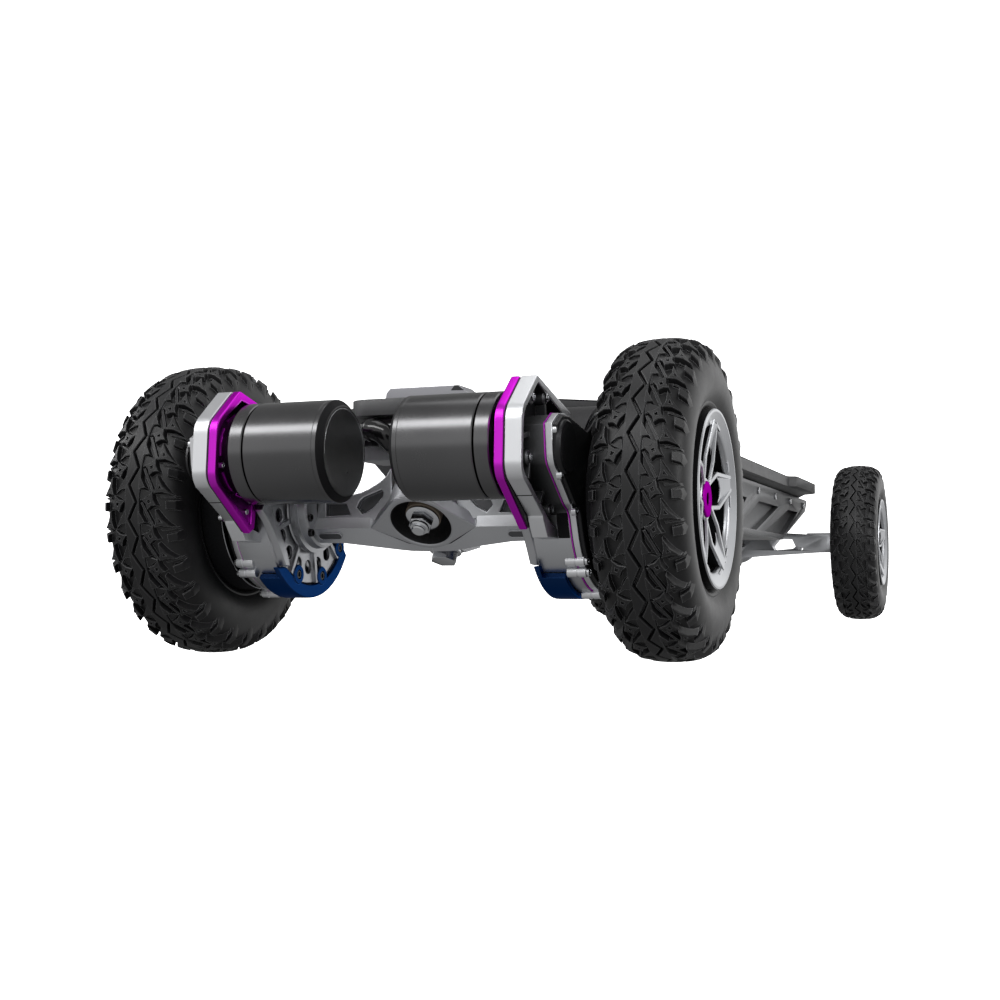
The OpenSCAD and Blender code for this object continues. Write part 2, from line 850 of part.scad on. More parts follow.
module at_bosses_outline() {
    for (a = boss_angles) translate([ring_out * cos(a), ring_out * sin(a)]) circle(boss_radius + slip);
}

// Socket screws of both drive units
module drive_screws() {
    color("#c8cbd0") for (side = [-1, 1]) on_axle(rear_axle_y, side) union() {
        at_plate_screws() screw_x(magenta_in, plate_out - 1, magenta_in - 3);
        at_bosses() screw_x(flange_in - 5, cover_out, cover_out + 3);
        for (a = spider_angles) translate([0, spider_r * cos(a), spider_r * sin(a)]) {
            face = a < 0 ? guard_face : case_in;
            screw_x(face, plate_in + 5, face - 3);
        }
    }
}

// A screw of 4 mm along x: shank from x0 to x1, head out to the given station
module screw_x(x0, x1, head) {
    rod_x(x0, x1, 2);
    rod_x(min(head, head < x0 ? x0 : x1), max(head, head < x0 ? x0 : x1), 3.5);
}

// ----------------------------------------------------------------- wheels

bead_r = 52;
rim_r = 55.6;

// Tyre section as [distance from axle, station] points of its outer half
function tyre_half_section(h) = [
    [tyre_r - 9, 0], [tyre_r - 9.5, h - 18], [84, h - 10], [74, h - 6], [64, h - 7], [58, h - 11], [bead_r, h - 12],
    [bead_r, h - 6], [rim_r + 3, h - 4], [66, h - 0.5], [74, h], [82, h - 0.5], [90, h - 4], [96, h - 9],
    [tyre_r, h - 14], [tyre_r, 12], [tyre_r - 3.5, 10.5], [tyre_r - 3.5, 7.5], [tyre_r, 6]
];

// Hollow tyre, open towards the rim, with two grooves around its tread
module tyre(axle_y, side) {
    half = tyre_half_section(tyre_w / 2);
    n = len(half);
    color("#17181a") on_axle(axle_y, side) translate([half_track, 0, 0]) rotate([0, 90, 0])
        rotate_extrude($fn = 128)
            polygon(concat(half, [for (i = [n - 1 : -1 : 1]) [half[i][0], -half[i][1]]]));
}

spokes = 5;
boss_r = 19;
barrel_in = 47;
// Rim, inner web, boss with bearing seats and five split spokes
module hub(axle_y, side) {
    color("#b7babf") on_axle(axle_y, side) difference() {
        union() {
            translate([half_track, 0, 0]) rotate([0, 90, 0]) rotate_extrude() rim_section();
            rod_x(hub_in, wheel_out - 9, boss_r);
            difference() {
                rod_x(hub_in, hub_in + 5, barrel_in + 1);
                for (a = [0 : 72 : 288]) slab_x(hub_in - 1, hub_in + 6) rotate(a + 36)
                    translate([36, 0]) circle(7, $fn = 32);
            }
            slab_x(wheel_out - 16, wheel_out - 7) for (i = [0 : spokes - 1]) rotate(90 + i * 360 / spokes) {
                polygon([[10, -6], [30, -4.5], [barrel_in + 1, -15], [barrel_in + 1, -9], [34, 0],
                    [barrel_in + 1, 9], [barrel_in + 1, 15], [30, 4.5], [10, 6]]);
            }
        }
        rod_x(hub_in - 1, wheel_out, bearing_r + running);
    }
}

// Rim barrel with an outer lip that shows beside the tyre
module rim_section() {
    h = tyre_w / 2;
    polygon([
        [barrel_in, -h + 1], [bead_r, -h + 1], [bead_r - slip, -h + 6], [bead_r - slip, h - 6], [bead_r, h - 4],
        [rim_r, h - 3.9], [rim_r, h + 1], [rim_r - 3, h + 1], [barrel_in, h - 6]
    ]);
}

// The four bearings of one truck's wheels, tight on the axles and free in the hubs
module wheel_bearings(axle_y) {
    color("#8d9197") for (side = [-1, 1], x = [inner_bearing, outer_bearing]) on_axle(axle_y, side) difference() {
        rod_x(x, x + bearing_w, bearing_r);
        rod_x(x - 1, x + bearing_w + 1, axle_r + slip);
    }
}

// Gear bolted to the inside of a rear hub
module drive_gear(side) {
    color("#8f949b") on_axle(rear_axle_y, side) difference() {
        union() {
            slab_x(gear_in, gear_out) gear_outline(wheel_teeth, train_angle);
            rod_x(gear_out, hub_in, 27);
        }
        rod_x(gear_in - 1, hub_in + 1, bearing_r + 3);
    }
}

// ------------------------------------------------------------------ build

deck();
grip_tape();
side_frame(-1);  // side_frame_left
side_frame(1);  // side_frame_right
battery_tray();
battery_cells();
motor_controller();
tail_plate();
power_button();
base_bolts();
frame_screws();
charge_port();
baseplate(false);  // rear_baseplate
baseplate(true);  // front_baseplate
steering_kingpins();
steering_bushings();
cable_glands();
pivot_block(false);  // rear_pivot_block
kingpin(false);  // rear_kingpin
bushings(false);  // rear_bushings
pivot_block(true);  // front_pivot_block
kingpin(true);  // front_kingpin
bushings(true);  // front_bushings
rear_hanger();
axles(rear_axle_y, axle_root);  // rear_axles
axle_caps(rear_axle_y);  // rear_axle_caps
gear_guards();
drive_screws();
motor_base(-1);  // motor_base_left
motor_base(1);  // motor_base_right
motor_plate(-1);  // motor_plate_left
motor_plate(1);  // motor_plate_right
drive_plate(-1);  // drive_plate_left
drive_plate(1);  // drive_plate_right
gear_case(-1);  // gear_case_left
gear_case(1);  // gear_case_right
gear_cover(-1);  // gear_cover_left
gear_cover(1);  // gear_cover_right
motor_can(-1);  // motor_can_left
motor_can(1);  // motor_can_right
pinion(-1);  // pinion_left
pinion(1);  // pinion_right
idler_gear(-1);  // idler_gear_left
idler_gear(1);  // idler_gear_right
front_hanger();
axles(front_axle_y, front_axle_root);  // front_axles
axle_caps(front_axle_y);  // front_axle_caps
tyre(rear_axle_y, -1);  // tyre_rear_left
tyre(rear_axle_y, 1);  // tyre_rear_right
tyre(front_axle_y, -1);  // tyre_front_left
tyre(front_axle_y, 1);  // tyre_front_right
hub(rear_axle_y, -1);  // hub_rear_left
hub(rear_axle_y, 1);  // hub_rear_right
hub(front_axle_y, -1);  // hub_front_left
hub(front_axle_y, 1);  // hub_front_right
drive_gear(-1);  // drive_gear_left
drive_gear(1);  // drive_gear_right
wheel_bearings(rear_axle_y);  // rear_wheel_bearings
wheel_bearings(front_axle_y);  // front_wheel_bearings
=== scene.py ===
import json
import math

import bmesh
import bpy
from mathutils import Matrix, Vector


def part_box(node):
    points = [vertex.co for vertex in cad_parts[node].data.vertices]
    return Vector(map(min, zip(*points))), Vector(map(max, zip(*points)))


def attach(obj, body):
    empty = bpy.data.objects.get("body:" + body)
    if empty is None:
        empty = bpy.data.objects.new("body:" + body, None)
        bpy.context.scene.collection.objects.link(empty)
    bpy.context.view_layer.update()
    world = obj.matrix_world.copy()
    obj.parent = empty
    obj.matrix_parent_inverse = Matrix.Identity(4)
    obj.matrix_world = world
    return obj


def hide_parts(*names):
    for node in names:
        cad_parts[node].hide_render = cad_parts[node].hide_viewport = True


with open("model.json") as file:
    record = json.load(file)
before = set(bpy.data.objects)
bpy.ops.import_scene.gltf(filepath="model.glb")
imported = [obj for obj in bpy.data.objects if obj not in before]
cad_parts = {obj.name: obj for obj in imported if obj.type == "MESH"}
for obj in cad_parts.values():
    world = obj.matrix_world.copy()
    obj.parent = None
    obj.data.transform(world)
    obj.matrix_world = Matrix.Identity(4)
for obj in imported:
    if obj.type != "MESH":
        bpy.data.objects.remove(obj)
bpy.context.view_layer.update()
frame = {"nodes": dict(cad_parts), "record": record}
NODES = frame["nodes"]
BODY = {n: b for b, ns in frame["record"]["behaviour"]["bodies"].items() for n in ns}
SLOT = {s["node"]: s["material_slot"] for s in frame["record"]["subparts"]}
MM = 0.001

# Axle places and the main stations, in millimetres
REAR_Y, FRONT_Y, AXLE_Z = -499.25, 517.75, 100.0
HALF_TRACK, TYRE_R = 164.0, 100.0
REAR_AXLE = (0, REAR_Y, AXLE_Z)
AXLES = (("rear", REAR_Y), ("front", FRONT_Y))
SIDES = (("left", -1), ("right", 1))

# ---------------------------------------------------------------- materials


class Nodes:
    """Short notation for building a material's node tree."""

    def __init__(self, name):
        self.mat = bpy.data.materials.new(name)
        self.mat.use_nodes = True
        self.tree = self.mat.node_tree
        self.bsdf = self.tree.nodes["Principled BSDF"]
        self.coord = self.add("ShaderNodeTexCoord")

    def add(self, kind, **values):
        node = self.tree.nodes.new(kind)
        for key, value in values.items():
            if key in node.inputs:
                node.inputs[key].default_value = value
            else:
                setattr(node, key.lower(), value)
        return node

    def link(self, a, b):
        self.tree.links.new(a, b)

    def noise(self, scale, detail=4.0, rough=0.5, stretch=(1, 1, 1), distortion=0.0):
        mapping = self.add("ShaderNodeMapping")
        mapping.inputs["Scale"].default_value = stretch
        self.link(self.coord.outputs["Object"], mapping.inputs["Vector"])
        node = self.add("ShaderNodeTexNoise")
        node.inputs["Scale"].default_value = scale
        node.inputs["Detail"].default_value = detail
        node.inputs["Roughness"].default_value = rough
        node.inputs["Distortion"].default_value = distortion
        self.link(mapping.outputs["Vector"], node.inputs["Vector"])
        return node.outputs["Fac"]

    def ramp(self, source, stops):
        node = self.add("ShaderNodeValToRGB")
        while len(node.color_ramp.elements) < len(stops):
            node.color_ramp.elements.new(0.5)
        for element, (place, colour) in zip(node.color_ramp.elements, stops):
            element.position = place
            element.color = (*colour, 1)
        self.link(source, node.inputs["Fac"])
        return node.outputs["Color"]

    def span(self, source, low, high):
        node = self.add("ShaderNodeMapRange")
        node.inputs["To Min"].default_value = low
        node.inputs["To Max"].default_value = high
        self.link(source, node.inputs["Value"])
        return node.outputs["Result"]

    def mix(self, factor, a, b):
        node = self.add("ShaderNodeMix", data_type="RGBA")
        for slot, value in ((0, factor), (6, a), (7, b)):
            if isinstance(value, (int, float)):
                node.inputs[slot].default_value = value
            elif isinstance(value, tuple):
                node.inputs[slot].default_value = (*value, 1)
            else:
                self.link(value, node.inputs[slot])
        return node.outputs[2]

    def bump(self, source, strength, distance):
        node = self.add("ShaderNodeBump")
        node.inputs["Strength"].default_value = strength
        node.inputs["Distance"].default_value = distance
        self.link(source, node.inputs["Height"])
        return node.outputs["Normal"]

    def edges(self, radius=0.0006):
        """1 on convex edges, 0 elsewhere: a lighter edge tone on metals, painted highlights on the tyre."""
        bevel = self.add("ShaderNodeBevel", samples=4)
        bevel.inputs["Radius"].default_value = radius
        geometry = self.add("ShaderNodeNewGeometry")
        dot = self.add("ShaderNodeVectorMath", operation="DOT_PRODUCT")
        self.link(bevel.outputs["Normal"], dot.inputs[0])
        self.link(geometry.outputs["Normal"], dot.inputs[1])
        node = self.add("ShaderNodeMapRange")
        node.inputs["From Min"].default_value = 0.97
        node.inputs["From Max"].default_value = 0.80
        self.link(dot.outputs["Value"], node.inputs["Value"])
        return node.outputs["Result"]

    def set(self, name, value):
        if isinstance(value, (int, float)):
            self.bsdf.inputs[name].default_value = value
        elif isinstance(value, tuple):
            self.bsdf.inputs[name].default_value = (*value, 1)
        else:
            self.link(value, self.bsdf.inputs[name])


def scaled(colour, k):
    return tuple(min(1.0, c * k) for c in colour)


def metal(name, colour, rough, grain=900, brushed=(1, 1, 1), edge_tone=None, bump=0.12, metallic=1.0):
    """Bead-blasted, brushed or anodised metal: cloudy tone, uneven roughness, fine grain."""
    n = Nodes(name)
    cloud = n.noise(9, 5, 0.55)
    fine = n.noise(grain, 3, 0.6, brushed)
    smudge = n.noise(38, 6, 0.62, distortion=0.6)
    tone = n.ramp(cloud, [(0.3, scaled(colour, 0.9)), (0.7, scaled(colour, 1.06))])
    tone = n.mix(n.span(fine, 0.0, 0.12), tone, scaled(colour, 0.75))
    # convex edges drawn in a lighter tone
    if edge_tone:
        tone = n.mix(n.edges(), tone, edge_tone)
    n.set("Base Color", tone)
    n.set("Metallic", metallic)
    lift = n.add("ShaderNodeMath", operation="ADD")
    n.link(n.span(smudge, rough - 0.06, rough + 0.06), lift.inputs[0])
    n.link(n.span(fine, -0.05, 0.05), lift.inputs[1])
    n.set("Roughness", lift.outputs[0])
    n.set("Normal", n.bump(fine, bump, 0.0002))
    return n.mat


def polymer(name, colour, rough, grain=700, bump=0.2):
    """Plastic or rubber: soft mottling, a fine pebbled surface and dust-dulled patches."""
    n = Nodes(name)
    cloud = n.noise(14, 5, 0.6)
    fine = n.noise(grain, 4, 0.6)
    tone = n.ramp(cloud, [(0.35, scaled(colour, 0.8)), (0.7, scaled(colour, 1.2))])
    n.set("Base Color", tone)
    n.set("Roughness", n.span(n.noise(60, 5, 0.6, distortion=0.8), rough - 0.08, rough + 0.08))
    n.set("Normal", n.bump(fine, bump, 0.0003))
    n.set("Specular IOR Level", 0.5)
    return n.mat


def tyre_rubber():
    """Black rubber of uneven roughness, its convex edges painted light grey as highlights."""
    n = Nodes("tyre_rubber")
    cloud = n.noise(22, 6, 0.6)
    fine = n.noise(1400, 3, 0.6)
    tone = n.ramp(cloud, [(0.3, (0.007, 0.007, 0.0075)), (0.75, (0.014, 0.014, 0.015))])
    # painted highlight: convex edges mixed towards light grey
    tone = n.mix(n.edges(0.0006), tone, (0.13, 0.13, 0.135))
    n.set("Base Color", tone)
    n.set("Roughness", n.span(n.noise(90, 5, 0.6), 0.36, 0.5))
    n.set("Normal", n.bump(fine, 0.15, 0.0002))
    n.set("Specular IOR Level", 0.3)
    return n.mat


MATERIALS = {
    "deck_shell": polymer("deck_shell", (0.055, 0.056, 0.058), 0.48, 900, 0.3),
    "grip": polymer("grip", (0.012, 0.012, 0.013), 0.85, 1500, 1.0),
    "frame": metal("frame", (0.14, 0.142, 0.148), 0.42, metallic=0.8, edge_tone=(0.35, 0.35, 0.36)),
    "tray": metal("tray", (0.13, 0.132, 0.138), 0.45, metallic=0.8),
    "cells": polymer("cells", (0.03, 0.12, 0.4), 0.35),
    "controller": metal("controller", (0.2, 0.21, 0.23), 0.4),
    "tail_metal": metal("tail_metal", (0.3, 0.3, 0.32), 0.42),
    "button": polymer("button", (0.01, 0.01, 0.011), 0.3),
    "dark_steel": metal("dark_steel", (0.05, 0.05, 0.053), 0.35),
    "bright_steel": metal("bright_steel", (0.66, 0.67, 0.69), 0.16, 400),
    "port": polymer("port", (0.012, 0.012, 0.013), 0.4),
    "cast_silver": metal("cast_silver", (0.50, 0.51, 0.53), 0.38, 1300, bump=0.25, edge_tone=(0.72, 0.73, 0.75)),
    "bushing": polymer("bushing", (0.20, 0.16, 0.12), 0.35),
    "gland": polymer("gland", (0.004, 0.004, 0.0045), 0.12, 900, 0.02),
    "axle_steel": metal("axle_steel", (0.45, 0.46, 0.48), 0.25, 500, brushed=(8, 1, 1)),
    "magenta": metal("magenta", (0.60, 0.025, 0.62), 0.3, 1500, edge_tone=(0.85, 0.2, 0.9)),
    "guard_blue": metal("guard_blue", (0.014, 0.042, 0.14), 0.38, edge_tone=(0.05, 0.15, 0.42)),
    "motor_black": metal("motor_black", (0.125, 0.125, 0.128), 0.24, 1600, bump=0.02),
    "plate_silver": metal("plate_silver", (0.72, 0.73, 0.75), 0.36, 1300, bump=0.2, edge_tone=(0.9, 0.9, 0.92)),
    "cover_black": metal("cover_black", (0.02, 0.02, 0.022), 0.4, metallic=0.6),
    "gear_steel": metal("gear_steel", (0.4, 0.41, 0.43), 0.3, 300),
    "gear_steel_light": metal("gear_steel_light", (0.4, 0.41, 0.43), 0.35, 300),
    "hub": metal("hub", (0.50, 0.51, 0.53), 0.34, 1100, bump=0.1, edge_tone=(0.75, 0.76, 0.78)),
    "tyre": tyre_rubber(),
}

# painted light: a lighter, rougher copy of cast silver for the band along the hanger arms
MATERIALS["band_painted_light"] = metal("band_painted_light", (0.62, 0.63, 0.65), 0.56, 1300, bump=0.2)
MATERIALS["magenta_cap"] = metal("magenta_cap", (0.36, 0.008, 0.36), 0.35, 1500)
TINTS = (("magenta", (0.9, 0.35, 0.9)), ("magenta_cap", (0.6, 0.05, 0.6)), ("guard_blue", (0.4, 0.5, 0.85)))
for name, tint in TINTS:
    MATERIALS[name].node_tree.nodes["Principled BSDF"].inputs["Specular Tint"].default_value = (*tint, 1)
MATERIALS["motor_cap"] = polymer("motor_cap", (0.005, 0.005, 0.0055), 0.3, 900, 0.05)
# painted shade: a darker copy of magenta for the recessed inner floor of the motor plates
MATERIALS["magenta_painted_shade"] = metal("magenta_painted_shade", (0.22, 0.01, 0.24), 0.38, 1500)
# painted shade: a dark copy of cast silver for pocket walls, screw pads, the lobe wall and the hanger's bowl
# and lower faces
MATERIALS["cast_painted_shade"] = metal("cast_painted_shade", (0.12, 0.122, 0.128), 0.45, 1300, bump=0.25,
                               edge_tone=(0.3, 0.3, 0.31))
# near-black and dull: painted shade in the plate pockets, gaps and hub barrels; also the dull black of the
# motor cap's bevel and a seam mark
MATERIALS["dull_black_and_painted_shade"] = polymer("dull_black_and_painted_shade", (0.006, 0.006, 0.007), 0.7, 900, 0.2)
MATERIALS["dull_black_and_painted_shade"].node_tree.nodes["Principled BSDF"].inputs["Specular IOR Level"].default_value = 0.15
MATERIALS["hub_black"] = metal("hub_black", (0.02, 0.02, 0.022), 0.35, metallic=0.7)

# ------------------------------------------------------------------ pieces


def piece(name, mesh, body, slot, *stands_for, smooth=30, looks=None):
    """Makes a shown object of a mesh already in the row frame, in metres."""
    obj = bpy.data.objects.new(name, mesh)
    bpy.context.scene.collection.objects.link(obj)
    if not looks:
        mesh.materials.clear()
    for look in looks or [slot]:
        mesh.materials.append(MATERIALS[look])
    if smooth:
        mesh.shade_smooth()
        mesh.set_sharp_from_angle(angle=math.radians(smooth))
    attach(obj, body)
    if stands_for:
        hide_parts(*stands_for)
    if smooth:
        weighted = obj.modifiers.new("normals", "WEIGHTED_NORMAL")
        weighted.keep_sharp = True
    return obj


def rounded(node, width):
    """A node's own shape with its edges broken, so that they catch light."""
    bm = bmesh.new()
    bm.from_mesh(NODES[node].data)
    bmesh.ops.remove_doubles(bm, verts=bm.verts, dist=1e-6)
    bmesh.ops.dissolve_limit(bm, angle_limit=math.radians(0.6), verts=bm.verts, edges=bm.edges)
    mesh = bpy.data.meshes.new(node + "_skin")
    bm.to_mesh(mesh)
    bm.free()
    obj = piece(node + "_skin", mesh, BODY[node], SLOT[node], node, smooth=None)
    mesh.shade_smooth()
    bevel = obj.modifiers.new("edges", "BEVEL")
    bevel.width = width * MM
    bevel.segments = 2
    bevel.limit_method = "ANGLE"
    bevel.angle_limit = math.radians(28)
    bevel.harden_normals = True
    bevel.miter_outer = "MITER_ARC"
    bevel.use_clamp_overlap = True
    return obj


class Builder:
    """Collects faces of one mesh, in millimetres."""

    def __init__(self):
        self.points = []
        self.faces = []

    def add(self, point):
        self.points.append(point)
        return len(self.points) - 1

    def ring(self, points):
        return [self.add(p) for p in points]

    def bridge(self, a, b, closed=True):
        n = len(a)
        for i in range(n if closed else n - 1):
            j = (i + 1) % n
            self.faces.append((a[i], a[j], b[j], b[i]))

    def mesh(self, name, move):
        mesh = bpy.data.meshes.new(name)
        mesh.from_pydata([((x + move[0]) * MM, (y + move[1]) * MM, (z + move[2]) * MM)
                          for x, y, z in self.points], [], self.faces)
        bm = bmesh.new()
        bm.from_mesh(mesh)
        bmesh.ops.recalc_face_normals(bm, faces=bm.faces)
        bm.to_mesh(mesh)
        bm.free()
        return mesh


def lathe(builder, profile, steps):
    """Turns a profile of (x, radius) about the x axis."""
    rings = []
    for i in range(steps):
        a = 2 * math.pi * i / steps
        rings.append([builder.add((x, r * math.cos(a), r * math.sin(a))) for x, r in profile])
    for i in range(steps):
        builder.bridge(rings[i], rings[(i + 1) % steps], False)


def arc(centre, radius, start, end, steps):
    """Points on a circle, from one angle to another in degrees."""
    angles = [math.radians(start + (end - start) * i / steps) for i in range(steps + 1)]
    return [(centre[0] + radius * math.cos(a), centre[1] + radius * math.sin(a)) for a in angles]


def circle(centre, radius, steps=32):
    return arc(centre, radius, 0, 360, steps)[:-1]


def polar(radius, degrees):
    a = math.radians(degrees)
    return (radius * math.cos(a), radius * math.sin(a))


def band(centre, outer, inner, start, end, steps):
    """Outline of part of a flat ring."""
    return arc(centre, outer, start, end, steps) + arc(centre, inner, end, start, steps)


def inset(points, d):
    """Moves every side of a counter-clockwise outline inward by d."""
    result = []
    for i, q in enumerate(points):
        p, r = Vector(points[i - 1]), Vector(points[(i + 1) % len(points)])
        u, v = (Vector(q) - p).normalized(), (r - Vector(q)).normalized()
        nu, nv = Vector((-u.y, u.x)), Vector((-v.y, v.x))
        m = (nu + nv).normalized()
        result.append(tuple(Vector(q) + m * d / max(0.4, m.dot(nu))))
    return result


def eased(points, corners):
    """Replaces corners of an outline, given as {index: radius}, by arcs of six points."""
    result = []
    for i, q in enumerate(points):
        if i not in corners:
            result.append(q)
            continue
        q = Vector(q)
        u = (Vector(points[i - 1]) - q).normalized()
        v = (Vector(points[(i + 1) % len(points)]) - q).normalized()
        half = math.acos(max(-1, min(1, u.dot(v)))) / 2
        reach = corners[i] / math.tan(half)
        centre = q + (u + v).normalized() * corners[i] / math.sin(half)
        start, end = q + u * reach - centre, q + v * reach - centre
        turn = start.angle_signed(end) * -1
        a = math.atan2(start.y, start.x)
        for k in range(6):
            at = a + turn * k / 5
            result.append((centre.x + corners[i] * math.cos(at), centre.y + corners[i] * math.sin(at)))
    return result


def turn_of(points):
    """Twice the signed area of an outline: above 0 when it runs counter-clockwise."""
    return sum(a[0] * b[1] - b[0] * a[1] for a, b in zip(points, points[1:] + points[:1]))


class Shape:
    """One piece, gathered in millimetres from plates, turned parts and bars along x."""

    def __init__(self, *looks):
        self.bm = bmesh.new()
        self.looks = looks
        self.look = 0

    def take(self, mesh, change=None):
        if change:
            for v in mesh.vertices:
                v.co = change(v.co)
        before = len(self.bm.faces)
        self.bm.from_mesh(mesh)
        self.bm.faces.ensure_lookup_table()
        for face in self.bm.faces[before:]:
            face.material_index = self.look
        bpy.data.meshes.remove(mesh)

    def plate(self, x0, x1, outline, holes=(), bevel=0.4, steps=2, axis="x", warp=None):
        """A slab between two stations, its outline drawn as (y, z), or (x, z) for axis y; edges bevelled."""
        data = bpy.data.curves.new("plate", "CURVE")
        data.dimensions = "2D"
        data.fill_mode = "BOTH"
        data.extrude = (x1 - x0) / 2 - bevel
        data.bevel_depth = bevel
        data.bevel_resolution = steps
        data.offset = -bevel
        for index, loop in enumerate([outline, *holes]):
            wanted = 1 if index == 0 else -1
            loop = list(loop)
            if turn_of(loop) * wanted < 0:
                loop.reverse()
            spline = data.splines.new("POLY")
            spline.points.add(len(loop) - 1)
            for point, (a, b) in zip(spline.points, loop):
                point.co = (a, b, 0, 1)
            spline.use_cyclic_u = True
        obj = bpy.data.objects.new("plate", data)
        bpy.context.scene.collection.objects.link(obj)
        mesh = bpy.data.meshes.new_from_object(obj.evaluated_get(bpy.context.evaluated_depsgraph_get()))
        bpy.data.objects.remove(obj)
        bpy.data.curves.remove(data)
        middle = (x0 + x1) / 2

        def place(co):
            p = (middle + co.z, co.x, co.y) if axis == "x" else (co.x, middle - co.z, co.y)
            return warp(*p) if warp else p

        self.take(mesh, place)

    def turned(self, profile, at=(0, 0), steps=72, warp=None):
        """A profile of (x, radius) turned about an axis along x that passes (y, z)."""
        b = Builder()
        lathe(b, profile, steps)
        mesh = bpy.data.meshes.new("turned")
        mesh.from_pydata([(x, y + at[0], z + at[1]) for x, y, z in b.points], [], b.faces)
        self.take(mesh, (lambda co: warp(*co)) if warp else None)

    def built(self, builder):
        mesh = bpy.data.meshes.new("built")
        mesh.from_pydata(builder.points, [], builder.faces)
        self.take(mesh)

    def screw(self, x, direction, at, head_r=2.6, head_h=2.4):
        """A socket head standing on station x, open towards direction."""
        h, r = head_h * direction, head_r
        self.turned([(x - direction * 0.6, 0), (x - direction * 0.6, r), (x + h * 0.8, r), (x + h, r * 0.85),
                     (x + h, r * 0.58), (x + h * 0.45, r * 0.52), (x + h * 0.4, 0)], at, 24)

    def done(self, name, body, slot, *stands_for, side=1, ahead=1, place=(0, 0, 0), smooth=30):
        """Moves the shape to its place, mirrored for the left side or the front, and shows it."""
        for v in self.bm.verts:
            x, y, z = v.co
            v.co = ((side * x + place[0]) * MM, (ahead * y + place[1]) * MM, (z + place[2]) * MM)
        bmesh.ops.remove_doubles(self.bm, verts=self.bm.verts, dist=1e-7)
        bmesh.ops.recalc_face_normals(self.bm, faces=self.bm.faces)
        mesh = bpy.data.meshes.new(name)
        self.bm.to_mesh(mesh)
        self.bm.free()
        piece(name, mesh, body, slot, *stands_for, smooth=smooth, looks=self.looks)


# Tyre: a carcass of revolution with raised ribs, knobs and shoulder blocks
REPEATS = 28
PITCH = 2 * math.pi * TYRE_R / REPEATS


def curve(x, table):
    """Straight-line reading of a table of (x, value)."""
    x = abs(x)
    for (x0, v0), (x1, v1) in zip(table, table[1:]):
        if x <= x1:
            return v0 + (v1 - v0) * (x - x0) / (x1 - x0)
    return table[-1][1]


CROWN = [(0, 100), (6, 99.8), (12, 99.1), (17, 98.0), (22, 95.8), (25.5, 92.8), (27.5, 89.0), (29, 85.5)]
CARCASS = [(0, 95.8), (8, 95.6), (15, 94.4), (20, 92.4), (23.5, 90.0), (26.2, 86.6), (28.0, 82.0), (28.8, 77),
           (28.9, 72.5), (28.3, 68), (27.0, 64.2), (25.6, 61.6), (24.9, 60.2), (25.1, 59.2), (24.8, 58.2),
           (24, 57), (22.6, 55.9), (21, 53.6), (20.6, 46.4)]


def on_tread(x, v, r):
    a = v / TYRE_R
    return (x, r * math.cos(a), r * math.sin(a))


def knob(b, repeat, outline, drop=0.0, dimple=0.0, chamfer=0.45, draft=0.7, depth=5.0):
    """A raised block on the tread, drawn as (x, v) corners, with chamfered top edges."""
    v0 = repeat * PITCH
    n = len(outline)
    cx = sum(p[0] for p in outline) / n
    cv = sum(p[1] for p in outline) / n

    def shrunk(d):
        result = []
        for x, v in outline:
            length = math.hypot(x - cx, v - cv)
            k = (length - d) / length
            result.append((cx + (x - cx) * k, cv + (v - cv) * k))
        return result

    def level(points, lower):
        return b.ring([on_tread(x, v0 + v, curve(x, CROWN) - drop - lower) for x, v in points])

    top = level(shrunk(chamfer), 0.0)
    edge = level(outline, chamfer * 0.8)
    foot = level(shrunk(-draft), depth)
    b.bridge(edge, top)
    b.bridge(foot, edge)
    if dimple:
        inner = [(cx + (x - cx) * dimple, cv + (v - cv) * dimple) for x, v in outline]
        mouth = level(inner, 0.0)
        floor = level([(cx + (x - cx) * 0.7, cv + (v - cv) * 0.7) for x, v in inner], 1.6)
        b.bridge(top, mouth)
        b.bridge(mouth, floor)
        b.faces.append(tuple(floor))
    else:
        b.faces.append(tuple(top))


def rib(b, rows):
    """A rib all round the tyre; rows are (v, left x, right x) over one repeat."""
    depth, chamfer = 5.0, 0.45
    sections = []
    for repeat in range(REPEATS):
        for v, x0, x1 in rows:
            vv = repeat * PITCH + v
            left, middle, right = curve(x0, CROWN), curve((x0 + x1) / 2, CROWN), curve(x1, CROWN)
            sections.append(b.ring([
                on_tread(x0 - 0.8, vv, left - depth),
                on_tread(x0, vv, left - chamfer * 0.8),
                on_tread(x0 + chamfer, vv, left),
                on_tread((x0 + x1) / 2, vv, middle),
                on_tread(x1 - chamfer, vv, right),
                on_tread(x1, vv, right - chamfer * 0.8),
                on_tread(x1 + 0.8, vv, right - depth),
            ]))
    for i, s in enumerate(sections):
        b.bridge(s, sections[(i + 1) % len(sections)], closed=False)


def pinched(corners, pull):
    """Corners with a point between each pair, drawn in towards the middle."""
    n = len(corners)
    cx = sum(p[0] for p in corners) / n
    cv = sum(p[1] for p in corners) / n
    result = []
    for i, (x, v) in enumerate(corners):
        nx, nv = corners[(i + 1) % n]
        mx, mv = (x + nx) / 2, (v + nv) / 2
        result += [(x, v), (mx + (cx - mx) * pull, mv + (cv - mv) * pull)]
    return result


